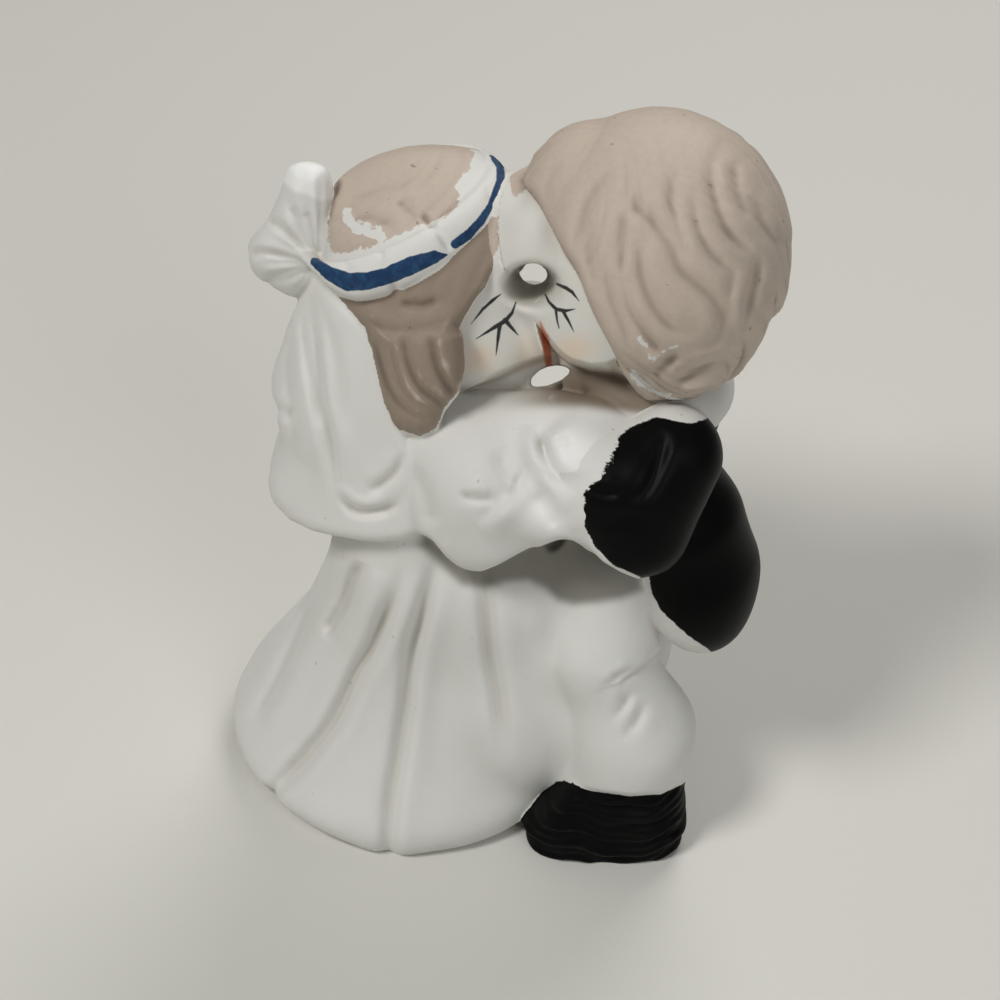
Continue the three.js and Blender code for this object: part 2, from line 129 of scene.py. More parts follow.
def line(u, v, pts):
    """Distance in the picture from a broken line."""
    best = None
    for (x0, y0), (x1, y1) in zip(pts, pts[1:]):
        ex, ey = x1 - x0, y1 - y0
        t = np.clip(((u - x0) * ex + (v - y0) * ey) / (ex * ex + ey * ey), 0, 1)
        d = (u - x0 - t * ex) ** 2 + (v - y0 - t * ey) ** 2
        best = d if best is None else np.minimum(best, d)
    return np.sqrt(best)


def side(u, v, pts):
    """Signed distance in the picture from a broken line that runs downwards: positive on its right."""
    best = sign = None
    for (x0, y0), (x1, y1) in zip(pts, pts[1:]):
        ex, ey = x1 - x0, y1 - y0
        t = np.clip(((u - x0) * ex + (v - y0) * ey) / (ex * ex + ey * ey), 0, 1)
        d = (u - x0 - t * ex) ** 2 + (v - y0 - t * ey) ** 2
        s = np.sign((u - x0) * ey - (v - y0) * ex)
        if best is None:
            best, sign = d, s
        else:
            sign = np.where(d < best, s, sign)
            best = np.minimum(best, d)
    return np.sqrt(best) * np.where(sign == 0, 1, sign)


def poly(u, v, pts):
    """Signed distance in the picture from a closed outline: positive inside."""
    d = line(u, v, pts + pts[:1])
    c = np.zeros(np.shape(u), bool)
    for (x0, y0), (x1, y1) in zip(pts, pts[1:] + pts[:1]):
        if y0 != y1:
            c ^= ((y0 > v) != (y1 > v)) & (u < (x1 - x0) * (v - y0) / (y1 - y0) + x0)
    return np.where(c, d, -d)


_lines = {}


def bent(pts, n=4):
    """A smooth curve through points, as a finer broken line."""
    key = tuple(pts)
    if key not in _lines:
        p = [np.array(q, float) for q in pts]
        out = []
        for i in range(len(p) - 1):
            a, b, c, d = p[max(i - 1, 0)], p[i], p[i + 1], p[min(i + 2, len(p) - 1)]
            for k in range(n):
                t = k / n
                out.append(tuple(0.5 * (2 * b + (c - a) * t + (2 * a - 5 * b + 4 * c - d) * t * t + (3 * b - a - 3 * c + d) * t**3)))
        out.append(tuple(p[-1]))
        _lines[key] = out
    return _lines[key]


def crease(f, uv, pts, depth, width, lip=0.5, low=0.2, taper=0.3):
    """A soft groove along a curve of the picture, shallower towards its ends, with a raised lip on its right and a lower one on its left."""
    q = bent(pts)
    u, v = uv
    w = width * 4.4
    m = (u > min(a for a, _ in q) - w) & (u < max(a for a, _ in q) + w) & (v > min(b for _, b in q) - w) & (v < max(b for _, b in q) + w) & (np.abs(f) < 3.2)
    if not m.any():
        return f
    u, v = u[m], v[m]
    best = np.full(u.shape, 1e9, u.dtype)
    sign = np.ones(u.shape, u.dtype)
    arc = np.zeros(u.shape, u.dtype)
    n = len(q) - 1
    for i in range(n):
        (x0, y0), (x1, y1) = q[i], q[i + 1]
        ex, ey = float(x1 - x0), float(y1 - y0)
        du, dv = u - float(x0), v - float(y0)
        t = np.clip((du * ex + dv * ey) / (ex * ex + ey * ey), 0, 1)
        d = (du - t * ex) ** 2 + (dv - t * ey) ** 2
        k = d < best
        best = np.where(k, d, best)
        sign = np.where(k, np.where(du * ey - dv * ex < 0, -1.0, 1.0), sign).astype(u.dtype)
        arc = np.where(k, (i + t) / n, arc)
    s = np.sqrt(best) * sign / width
    end = sstep(arc, 0.0, taper) * sstep(1 - arc, 0.0, taper) if taper > 0 else 1.0
    g = np.exp(-s * s) - lip * np.exp(-(((s - 2.0) / 1.5) ** 2)) - low * np.exp(-(((s + 2.1) / 1.6) ** 2))
    out = np.array(f)
    out[m] += (depth * end * g).astype(f.dtype)
    return out


def dent(f, uv, pts, depth, width, taper=0.3):
    """A plain soft groove, or with a negative depth a ridge."""
    return crease(f, uv, pts, depth, width, 0.0, 0.0, taper)


def wob(P, s, ph=0.0):
    """Slow hand-made unevenness."""
    x, y, z = P[0] / s, P[1] / s, P[2] / s
    return 0.4 * (
        np.sin(x * 6.3 + 1.7 * np.sin(y * 4.1 + ph) + ph)
        + np.sin(y * 5.7 + 1.9 * np.sin(z * 3.7 + 1.3 + ph) + 2.1)
        + np.sin(z * 6.1 + 1.5 * np.sin(x * 4.9 + 0.7) + ph * 1.7)
    )


# ------------------------------------------------------------------ bride
def smooth_rows(rows, n=12):
    """A dense smooth curve through rows of (radius, height)."""
    v, z = np.array(rows, float).T
    m = np.gradient(v, z)
    t = np.linspace(0, 1, n, endpoint=False)
    a, b, c, d = 2 * t**3 - 3 * t**2 + 1, t**3 - 2 * t**2 + t, 3 * t**2 - 2 * t**3, t**3 - t**2
    out = []
    for i in range(len(z) - 1):
        h = z[i + 1] - z[i]
        out.append(np.stack([a * v[i] + b * h * m[i] + c * v[i + 1] + d * h * m[i + 1], z[i] + t * h], 1))
    return np.concatenate(out + [np.array(rows[-1:], float)])


SKIRT = smooth_rows([
    (22.7, -0.6), (22.9, 0.3), (22.9, 1.6), (22.6, 3.2), (21.9, 5.2), (20.5, 7.6), (18.4, 11.0), (15.8, 15.4), (13.5, 20.0),
    (11.5, 25.0), (10.0, 30.0), (9.3, 35.0), (8.6, 40.0), (8.3, 44.0), (8.2, 48.0)])
# grooves on the side that is seen, as lines of the picture, with their depth
SKIRT_LINES = [
    ([(362, 560), (356, 575), (346, 605), (334, 625), (325, 640)], 0.85),
    ([(318, 590), (303, 622), (284, 665), (266, 700), (250, 728)], 0.55),
    ([(408, 555), (396, 591), (386, 615), (372, 648), (356, 674), (342, 705), (329, 728), (310, 752), (290, 774), (272, 792), (254, 812)], 1.3),
    ([(440, 550), (431, 580), (420, 620), (412, 650), (406, 704), (398, 759), (391, 801), (388, 850), (386, 880)], 1.1),
    ([(478, 560), (484, 592), (488, 630), (491, 658), (497, 695), (501, 724), (509, 770)], 1.05),
    ([(548, 610), (555, 645), (562, 674), (575, 702), (581, 728), (580, 752), (570, 774)], 0.7),
]
# grooves at the back: angle, depth, width in degrees
GROOVES = [(180, 0.25, 8.0)]
# radius of the foot by angle
FOOT = [(0, 20.8), (24, 20.8), (43, 21.2), (62, 21.2), (79, 21.7), (93, 20.8), (108, 20.1), (119, 19.7), (131, 19.7), (150, 19.9), (180, 20.2)]


LOWER_HOLE = [(530.5, 379), (535, 374), (540, 369.8), (548, 366.6), (557, 365.4), (565, 366.5), (570, 369.5), (569, 373.5), (562, 379.6), (547, 385.8), (537, 387.4), (531, 386)]
ARM_HOLE = [(545, 545), (550, 541), (558, 535), (567, 534), (566, 543), (560, 550), (553, 554), (547, 551)]


def through(P, outline):
    """An opening straight through the cast along the line of sight."""
    u, v = seen(P, 99.0)
    return np.maximum(poly(u, v, outline) / 9.0, -3.0)


def f_skirt(P, uv):
    x, y, z = P[0] + 9.4, P[1], P[2]
    r = np.hypot(x, y)
    th = np.degrees(np.arctan2(y, x))
    R = np.interp(z, SKIRT[:, 1], SKIRT[:, 0]).astype(z.dtype) + 0.3
    foot = np.interp(np.abs(th), [a for a, _ in FOOT], [b for _, b in FOOT]).astype(z.dtype)
    R = R - (23.2 - foot) * np.clip(1 - z / 5.0, 0, 1.1) ** 2
    R = R + 6.0 * sstep(z, 8, 40) * np.maximum((0.4 * x - 0.92 * y) / np.maximum(r, 0.1), 0) ** 2
    deep = (0.35 + 0.65 * sstep(40 - z, 0, 24)) * (0.5 + 0.5 * sstep(z, 1.0, 11.0))
    press = 0.0
    for a, d, w in GROOVES:
        q = (th - a + 180) % 360 - 180
        press = press + d * np.exp(-(q / w) ** 2)
    f = (r - R) * 0.88
    lap = ell(P, (5.8, -3.6, 16.5), (10.8, 11.4, 17.4))
    f = smin(smin(f, lap, 3.0), ell(P, (3.0, -4.0, 33.0), (12.0, 9.8, 14.0)), 4.0) + press * deep
    for pts, d in SKIRT_LINES:
        f = crease(f, uv, pts, 1.15 * d, 8.5, 0.25, 0.12, 0.25)
    f = smax(f, -z, 0.25)
    return np.maximum(smax(f, through(P, ARM_HOLE), 0.5), z - 46.5)


def f_bodice(P, uv):
    f = union(2.0,
        cone(P, (-8.4, 0, 47.5), 8.3, (-6.6, 0, 55.0), 7.2),
        ell(P, (-6.2, 0, 55.8), (6.6, 9.4, 4.8)),
        cone(P, (-6.2, 0, 57.0), 4.6, (-5.6, 0, 63.5), 4.2),
        ell(P, (4.5, -3.6, 51.2), (12.5, 8.4, 8.0)),
        ell(P, (6.0, -3.2, 44.0), (9.5, 7.0, 9.4)))
    return smax(smax(f, through(P, LOWER_HOLE), 0.5), through(P, ARM_HOLE), 0.5)


ARM_HEM = [(380, 528), (410, 531), (423, 534), (432, 539), (446, 556), (456, 565), (464, 570), (474, 572), (481, 571.7), (498, 565), (520, 553), (544, 540.6), (557, 536.5), (574, 535.7),
           (584, 542), (603, 561), (620, 571), (638, 578.6), (668, 573), (700, 560)]


def shifted(P, dx, dy=0.0):
    """The far side folded onto the near one, set back along x and y."""
    far = P[1] > 0
    return np.where(far, P[0] + dx, P[0]), np.where(far, -P[1] - dy, P[1]), P[2]


def arm_relief(f, uv):
    """The sharp lower edge that all four casts of the arms share, and the folds and fingers modelled over them."""
    f = smax(f, -side(uv[0], uv[1], ARM_HEM) / 9.0, 0.55)
    f = crease(f, uv, [(460, 490), (467, 496), (477, 499), (488, 499), (498, 495)], 0.50, 6.0, 0.6, 0.1)
    f = dent(f, uv, [(497, 446), (503, 464), (512, 480), (518, 484)], 0.62, 10)
    f = dent(f, uv, [(478, 534), (500, 517), (516, 500), (528, 485), (542, 474)], -0.82, 14)
    f = dent(f, uv, [(476, 524), (492, 510), (506, 494), (514, 484)], 0.50, 8)
    f = dent(f, uv, [(530, 424), (530, 448), (531, 474)], -0.45, 10)
    f = dent(f, uv, [(536, 468), (547, 483), (560, 499), (568, 516)], -0.55, 10)
    f = dent(f, uv, [(534, 492), (546, 512), (557, 529)], 0.34, 7)
    f = crease(f, uv, [(536, 424), (541, 438), (546, 452), (553, 467), (567, 479), (584, 481), (600, 472)], 0.90, 6.5, 0.3, 0.5)
    f = dent(f, uv, [(555, 436), (561, 448)], 0.14, 4)
    f = dent(f, uv, [(566, 432), (572, 446)], 0.14, 4)
    f = dent(f, uv, [(414, 462), (427, 500), (434, 528)], 0.35, 9)
    return f


def f_bride_sleeve(P, uv):
    Q = shifted(P, 2.6)
    uv = seen(Q)
    if P[1].mean() > 0:
        f = union(3.0,
            cone(Q, (-5.0, -8.6, 57.4), 5.0, (2.6, -13.0, 58.6), 3.5),
            cone(Q, (2.6, -13.0, 58.6), 3.5, (9.6, -13.4, 58.4), 3.3),
            ell(Q, (-3.0, -12.0, 53.4), (6.0, 5.2, 7.0)))
        return smax(f, -side(uv[0], uv[1], ARM_HEM) / 9.0, 0.55)
    f = union(3.0,
        cone(Q, (-5.0, -8.6, 57.4), 5.2, (2.6, -13.0, 56.4), 5.2),
        cone(Q, (2.6, -13.0, 56.4), 5.2, (9.6, -13.6, 55.4), 4.6),
        ell(Q, (3.4, -8.4, 55.8), (8.6, 6.6, 6.0)),
        cone(Q, (2.6, -8.8, 57.8), 4.2, (8.2, -9.2, 60.2), 4.3),
        ell(Q, (2.4, -13.0, 51.0), (8.2, 5.6, 8.0)))
    return smax(smax(arm_relief(f, uv), through(P, LOWER_HOLE), 0.5), 43.5 - Q[2], 1.0)


def f_bride_hand(P, uv):
    far = P[1].mean() > 0
    Q = shifted(P, 2.6)
    uv = seen(Q)
    if far:
        Q = (Q[0], Q[1], Q[2] - 2.6)
    f = union(2.0,
        cone(Q, (9.6, -14.0, 56.0), 3.8, (13.2, -14.6, 54.8), 3.4),
        ell(Q, (12.4, -14.4, 53.6), (3.0, 3.0, 5.0), -12))
    return f if far else arm_relief(f, uv)


def nose_gap(P):
    """The opening between the noses: a funnel towards the near side, a slot that falls towards the far side."""
    u, v = seen(P, 99.0)
    t = np.clip(-P[1] / 8.0, 0.0, 1.6)
    a, b = 14.4 + 14.6 * t, 10.2 + 13.4 * t
    near = (np.sqrt(((u - 532 + t) / a) ** 2 + ((v - 274 - 13 * t) / b) ** 2) - 1) * b / 9.0 * 0.9
    y = np.abs(P[1])
    x, z = P[0] - 3.35 + 0.23 * y, P[2] - 73.75
    up = sstep(z, -0.8, 0.8)
    rx, rz = 1.55 + 0.10 * y, 1.35 + y * (0.86 - 0.45 * up)
    far = (np.sqrt((x / rx) ** 2 + (z / rz) ** 2) - 1) * np.minimum(rx, rz) * 0.8
    return np.where(P[1] < 0, near, far)


JAW_B = [(428, 414), (446, 402), (458, 393), (474, 385), (495, 373), (516, 364), (536, 358), (556, 350)]
JAW_G = [(536, 322), (550, 336), (557, 345), (564, 352), (572, 358), (592, 364), (606, 362), (616, 358), (625, 363), (640, 375), (660, 392)]


def jaw(f, P, pts):
    """A crisp lower edge of the cheek, behind which the cast falls back."""
    u, v = seen(P)
    low = np.maximum(-side(u, v, pts) / 9.0, 0.0)
    return f + 2.2 * (1 - np.exp(-low / 0.8)) * sstep(np.abs(P[1]), 2.5, 5.5)


def bridges(P):
    top = ell(P, (5.0, 0, 79.5), (5.8, 8.6, 8.4))
    top = smax(top, (P[2] - 85.7 - 0.25 * (P[0] - 2.0)) * 0.96, 2.0)
    return union(1.5, top, ell(P, (6.1, 0, 67.2), (4.6, 5.2, 3.2), -15))


KISS_N = np.array([0.94, 0.0, 0.34])


def kiss(P):
    """Signed distance from the border of the two faces, which bends aside at the mouths."""
    return (P[0] - 5.0) * 0.94 + (P[2] - 71.5) * 0.34 - 1.3 * (1 - sstep(P[2], 75.5, 78.5))


def heads(P):
    return union(2.6,
        ell(P, (-6.0, 0, 71.2), (11.3, 11.5, 11.8)),
        ell(P, (-0.4, 0, 67.0), (7.2, 9.8, 6.6)),
        ell(P, (-8.0, 0, 66.0), (8.0, 11.2, 6.5)),
        ell(P, (14.8, 0, 75.6), (11.3, 11.5, 11.8)),
        ell(P, (11.6, 0, 71.4), (7.3, 9.7, 6.0)),
        ell(P, (0.6, 0, 78.2), (4.6, 7.1, 6.0)),
        bridges(P))


def f_bride_head(P, uv):
    f = heads(P)
    f = smin(jaw(f, P, JAW_B), cone(P, (-3.0, -1.2, 62.2), 5.2, (5.4, -1.6, 62.6), 4.2), 1.0)
    f = smax(smax(f, -nose_gap(P), 0.9), through(P, LOWER_HOLE), 0.5)
    return np.maximum(f, kiss(P))


def f_groom_head(P, uv):
    f = heads(P)
    f = smin(jaw(f, P, JAW_G), cone(P, (5.4, -1.6, 62.6), 4.2, (14.0, -1.6, 65.0), 5.0), 1.0)
    f = smax(smax(f, -nose_gap(P), 0.9), through(P, LOWER_HOLE), 0.5)
    return np.maximum(f, -kiss(P))


BAND_C, BAND_R, BAND_T = (-10.9, 0.0, 77.7), 12.1, math.radians(29)


def band_frame(P):
    """Angle, in-plane distance and height of a point in the headband's own frame."""
    x, y, z = P[0] - BAND_C[0], P[1], P[2] - BAND_C[2]
    a = x * math.cos(BAND_T) + z * math.sin(BAND_T)
    n = -x * math.sin(BAND_T) + z * math.cos(BAND_T)
    return np.arctan2(y, a), np.hypot(a * 1.06, y), n


HAIRLINE_B = [(516, 190), (506, 216), (507, 234), (497, 259), (483, 287), (472, 304), (464, 318), (458, 345), (450, 372)]
ROLL = [(335, 300), (358, 325), (379, 337), (403, 344), (427, 343), (450, 338), (466, 322), (480, 300)]


CROWN_TOP = [(318, 215), (326, 196), (331, 181), (344, 169), (361, 159), (379, 152), (407, 145.5), (435, 143.5), (455, 143.5), (469, 144.5), (480, 147.5), (490, 153),
             (500, 163), (506, 172), (511, 184)]


def crown_top(P):
    u, v = seen(P, 99.0)
    return np.clip(side(u, v, CROWN_TOP) / 9.0, -4.0, 4.0)


def f_bride_hair(P, uv):
    f = ell(P, (-6.6, 0, 72.0), (13.2, 13.2, 13.6))
    back = smax(ell(P, (-9.35, 0, 72.54), (12.48, 10.74, 12.66)), (329 - seen(P, 99.0)[0]) / 9.0, 1.2)
    f = smin(f, smax(back, 75.0 - P[2], 1.5), 1.5)
    t, rho, n = band_frame(P)
    # combed strands: over the crown towards the band, and down and back under it
    crown = np.sin(rho * 3.1 + 0.9 * np.sin(t * 2 + 0.5)) * 0.5 + np.sin(rho * 5.7 + 1.3 * np.sin(t * 3)) * 0.3
    f = f - 0.05 * crown * sstep(rho, 2, 8) * sstep(n, -1, 1.5)
    side_s = np.sin(uv[0] * 0.16 + uv[1] * 0.075 + 1.2 * np.sin(uv[1] * 0.03)) * 0.6 + np.sin(uv[0] * 0.31 + uv[1] * 0.12) * 0.35
    f = f - 0.07 * side_s * sstep(-n, 0.5, 2.5)
    uv0, uv = uv, seen(P, 5.0)
    f = dent(f, uv0, [(345, 300), (370, 316), (400, 326), (440, 322), (462, 305)], -0.55, 12)
    f = dent(f, uv, [(420, 212), (432, 225), (446, 244)], 0.4, 4.5)
    f = crease(f, uv, [(396, 200), (408, 208), (420, 220)], 0.22, 6)
    f = crease(f, uv, [(336, 218), (352, 206), (371, 196), (414, 183), (457, 170)], 0.13, 7)
    f = crease(f, uv, [(346, 203), (380, 186), (420, 170), (452, 158)], 0.10, 8)
    f = crease(f, uv, [(344, 224), (366, 218), (384, 222), (402, 230)], 0.18, 6)
    f = dent(f, uv, [(398, 303), (412, 305), (428, 305), (440, 296)], 0.45, 5)
    uv = uv0
    f = smax(f, side(uv[0], uv[1], HAIRLINE_B) / 9.0, 0.8)
    low = -side(uv[0], uv[1], ROLL) / 9.0
    f = smax(f, np.where(P[2] > 76, crown_top(P), -4.0), 1.2)
    return smax(smax(f, low, 1.8), 64.0 - P[2], 1.0)


BAND_LOW = [(270, 225), (305, 262), (325, 284), (341, 296), (357, 302), (379, 307), (396, 299), (411, 299), (428, 300), (440, 289), (446, 268), (453, 257), (463, 248),
            (484, 229), (497, 212), (509, 195), (520, 175)]


def f_band(P, uv):
    t, rho, n = band_frame(P)
    ruffle = np.sin(t * 19 + 0.8 * np.sin(t * 5)) * 0.5 + 0.5 * np.sin(t * 11 + 1.0)
    a = 1.55 + 0.07 * ruffle
    b = 2.3
    q = (rho - BAND_R) / a
    w = (n + 0.05) / b
    k0 = np.sqrt(q * q + w * w)
    k1 = np.sqrt((q / a) ** 2 + (w / b) ** 2) + 1e-9
    f = k0 * (k0 - 1) / k1
    f = smax(f, -side(uv[0], uv[1], BAND_LOW) / 9.0, 0.7)
    f = smax(f, np.where(P[2] > 76, crown_top(P), -4.0), 0.8)
    # gathers
    f = dent(f, uv, [(379, 244), (382, 258), (382, 272)], 0.16, 3.5)
    f = dent(f, uv, [(390, 276), (395, 290), (398, 306)], 0.35, 4.5)
    f = dent(f, uv, [(424, 216), (438, 234), (452, 254)], 0.40, 4.5)
    f = dent(f, uv, [(342, 256), (350, 276), (356, 296)], 0.16, 5.0)
    f = dent(f, uv, [(485, 182), (492, 202), (498, 216)], 0.22, 4.0)
    return f


LOCK_EDGE = [(366, 320), (368, 339), (375, 370), (383, 400), (393, 424), (403, 433), (420, 438), (437, 430), (446, 410), (458, 394), (465, 366), (463, 335), (450, 318)]


def f_lock(P, uv):
    Q = (P[0], -np.abs(P[1]), P[2])
    sd = np.maximum(poly(uv[0], uv[1], LOCK_EDGE) / 9.0, -3.0)
    mid = -12.4 - 0.17 * (70 - Q[2])
    t = np.where(sd > 0, 3.1 * (1 - np.exp(-np.maximum(sd, 0) / 1.3)), 2.4 * sd)
    f = (np.abs(Q[1] - mid) - t) / np.sqrt(1 + (2.4 * np.exp(-np.abs(sd) / 1.3)) ** 2)
    for pts, d in (
        ([(402, 332), (407, 362), (422, 390), (450, 408)], 0.42), ([(430, 334), (438, 368), (456, 398)], 0.40),
        ([(374, 336), (388, 384), (408, 410), (440, 425)], 0.34), ([(388, 334), (398, 376), (414, 402), (446, 417)], 0.30)):
        f = crease(f, uv, pts, d, 5.0, 0.45, 0.25, 0.2)
    return f


FAN_EDGE = [(326, 276), (331, 250), (333, 215), (333, 190), (332, 178), (327, 168), (318, 163), (307, 161), (296, 163), (288, 168), (284, 177), (281, 188), (275, 204), (266, 221),
            (256, 232), (249, 243), (249, 256), (252, 269), (262, 280), (277, 288), (295, 297), (314, 292)]


def f_rosette(P, uv):
    uv = seen(P, 1.5)
    sd = np.maximum(poly(uv[0], uv[1], bent(FAN_EDGE + FAN_EDGE[:1], 3)[:-1]) / 9.0, -3.0)
    a = np.arctan2(uv[1] - 264, uv[0] - 318)
    d = np.hypot(uv[0] - 318, uv[1] - 264) / 9.0
    w = 2.9
    f = np.hypot(np.maximum(w - sd, 0), np.maximum(np.abs(P[1] + 2.8) - 0.3, 0)) - w
    f = f - 0.10 * np.cos(a * 23 + 0.8 * np.sin(a * 4)) * sstep(d, 1.0, 5.0) * sstep(sd, 0.2, 2.2)
    for pts, k in (
        ([(320, 264), (296, 240), (268, 216)], 0.38), ([(318, 258), (306, 232), (291, 206)], 0.22), ([(318, 266), (286, 258), (249, 252)], 0.32),
        ([(318, 268), (292, 275), (262, 282)], 0.26), ([(321, 256), (314, 232), (305, 212)], 0.18)):
        f = crease(f, uv, pts, k, 5.5, 0.3, 0.3, 0.15)
    return f + 0.8 * np.exp(-((d / 0.9) ** 2))


VEIL_R = smooth_rows([(15.0, 32.0), (16.6, 35.0), (18.0, 37.6), (18.4, 41.0), (17.6, 45.3), (16.8, 48.3), (16.7, 51.2), (17.1, 52.9), (17.5, 55.4),
                   (16.5, 59.7), (15.3, 63.2), (14.2, 66.6), (13.0, 70.0), (11.6, 74.0), (9.5, 78.0)])
VEIL_SIDE = smooth_rows([(16.6, 32.0), (16.9, 40.0), (16.4, 46.0), (15.6, 52.0), (14.9, 58.0), (14.2, 63.0), (13.4, 68.0), (12.2, 74.0), (10, 78.0)])
VEIL_EDGE = [(322, 270), (336, 292), (362, 320), (379, 350), (390, 390), (404, 430), (420, 468), (435, 505), (448, 548), (452, 570)]
VEIL_HEM = [(255, 462), (264, 484), (274, 503), (290, 520), (312, 531), (336, 537), (362, 541), (382, 542), (402, 539), (420, 532), (436, 534), (460, 545)]


def f_veil(P, uv):
    x, y, z = P[0] + 8.2, P[1], P[2]
    r = np.hypot(x, y)
    s = math.pi - np.abs(np.arctan2(y, x))  # 0 at the back
    k = sstep(s, 0.35, 1.5)
    R = np.interp(z, VEIL_R[:, 1], VEIL_R[:, 0]).astype(z.dtype) * (1 - k) + np.interp(z, VEIL_SIDE[:, 1], VEIL_SIDE[:, 0]).astype(z.dtype) * k
    low = sstep(72 - z, 2, 30)
    sp = s + 0.10 * np.sin(z * 0.16 + 3 * s)
    pleat = np.cos(sp * 9.5 + 0.5) * 0.5 + np.cos(sp * 16 + 1.9) * 0.3 + np.cos(sp * 25 + 0.4) * 0.12
    R = R + 0.75 * low * pleat * (1 - 0.65 * sstep(s, 0.5, 0.9))
    hem = 36.4 + 9.4 * np.clip(s / 1.9, 0, 1.2) ** 1.35
    f = (r - R) * 0.92
    f = smax(f, -side(uv[0], uv[1], VEIL_HEM) / 9.0, 1.2)
    f = smax(f, (hem - 2.0 - z) * 0.9, 1.0)
    f = smax(f, z - 75.5, 1.5)
    f = smax(f, np.minimum(R - 2.2 - r, hem + 4.0 - z), 1.0)  # undercut behind the hem
    f = smax(f, side(uv[0], uv[1], VEIL_EDGE) / 9.0, 1.4)
    f = np.maximum(f, x - 9.0)
    # a tucked pocket, a pinch beside it and the hanging folds
    f = dent(f, uv, [(338, 492), (352, 508), (366, 513), (386, 510), (404, 500)], 0.75, 5.5)
    f = dent(f, uv, [(336, 482), (352, 498), (368, 503), (388, 499)], -0.35, 6.0)
    f = crease(f, uv, [(405, 452), (396, 472), (382, 485), (366, 492)], 0.45, 5.5, 0.4, 0.5)
    f = crease(f, uv, [(309, 286), (313, 320), (316, 346), (322, 397), (332, 455), (336, 500)], 0.60, 6.5, 0.6, 0.3)
    f = crease(f, uv, [(303, 300), (305, 346), (315, 397), (321, 432)], 0.42, 5.5, 0.5, 0.4)
    f = crease(f, uv, [(318, 296), (331, 340), (340, 392), (346, 440)], 0.35, 7.0, 0.5, 0.4)
    f = crease(f, uv, [(297, 320), (289, 372), (294, 425), (299, 475)], 0.30, 7.5, 0.5, 0.4)
    f = dent(f, uv, [(262, 402), (280, 410), (296, 416)], 0.35, 7.0)
    return f


# ------------------------------------------------------------------ groom
HAIRLINE_G = [(470, 120), (505, 165), (532, 192), (552, 228), (572, 264), (592, 306), (609, 342), (624, 374), (640, 400)]
_ga = np.array([-0.46, 0.0, 0.89])
_ga /= np.linalg.norm(_ga)
_ge = np.cross(np.array([0.0, 1.0, 0.0]), _ga)
GHAIR_C, GHAIR_R = (16.4, 0.0, 80.2), (13.9, 14.1, 14.3)


def hair_waves(P):
    """Strands of the mop: relief, and the large locks alone."""
    x, y, z = P[0] - GHAIR_C[0], P[1], P[2] - GHAIR_C[2]
    rr = np.sqrt(x * x + y * y + z * z) + 1e-6
    c = (x * _ga[0] + z * _ga[2]) / rr
    pol = np.arccos(np.clip(c, -1, 1))
    az = np.arctan2(y, x * _ge[0] + z * _ge[2])
    ay = np.abs(az)
    w = ay + 0.26 * np.sin(2.7 * pol + 1.1 + 0.9 * np.sin(3 * ay)) + 0.11 * np.sin(5.6 * pol - 1.7 + 2.1 * np.sin(2 * ay + 0.4))
    big = np.sin(9.5 * w + 0.7 * np.sin(2.2 * pol) + 0.4)
    mid = np.sin(21 * w + 1.6 * np.sin(3.1 * pol + ay) + 1.1)
    fine = np.sin(43 * w + 2.3 * np.sin(4.3 * pol + 2 * ay))
    env = 0.25 + 0.75 * sstep(pol, 0.35, 1.1)
    return env * (0.42 * big + 0.30 * mid + 0.13 * fine), big, pol, az


HAIR_LINES = [
    ([(631, 140), (625, 172), (637, 205), (658, 225), (671, 245), (681, 269), (698, 285), (714, 299), (723, 318), (718, 338), (702, 349), (680, 349)], 0.42, 7.5),
    ([(676, 162), (670, 196), (677, 225), (684, 246), (698, 268)], 0.34, 7.0),
    ([(712, 146), (711, 182), (719, 211), (733, 236), (756, 252)], 0.38, 7.5),
    ([(733, 158), (736, 190), (750, 222)], 0.24, 7.0),
    ([(750, 192), (766, 226), (790, 252)], 0.28, 7.5),
    ([(627, 206), (621, 240), (620, 280)], 0.34, 6.0),
    ([(616, 166), (592, 194), (580, 222), (574, 262)], 0.26, 8.0),
    ([(645, 222), (639, 255), (643, 284), (657, 312), (677, 330), (704, 334)], 0.32, 7.0),
    ([(620, 268), (628, 305), (643, 330), (658, 348), (682, 364)], 0.34, 6.5),
    ([(602, 258), (610, 296), (622, 324), (632, 354)], 0.28, 6.5),
    ([(652, 378), (664, 366), (680, 354)], 0.32, 5.5),
    ([(672, 392), (692, 376), (718, 364)], 0.32, 6.0),
    ([(735, 262), (729, 298), (733, 326), (728, 362)], 0.28, 7.0),
    ([(763, 248), (754, 288), (747, 316), (738, 356)], 0.30, 7.0),
    ([(690, 184), (695, 220), (706, 244), (722, 262), (742, 276)], 0.28, 6.5),
    ([(562, 158), (547, 187), (546, 214)], 0.16, 8.0),
    ([(590, 216), (588, 255), (598, 300)], 0.18, 7.0),
]


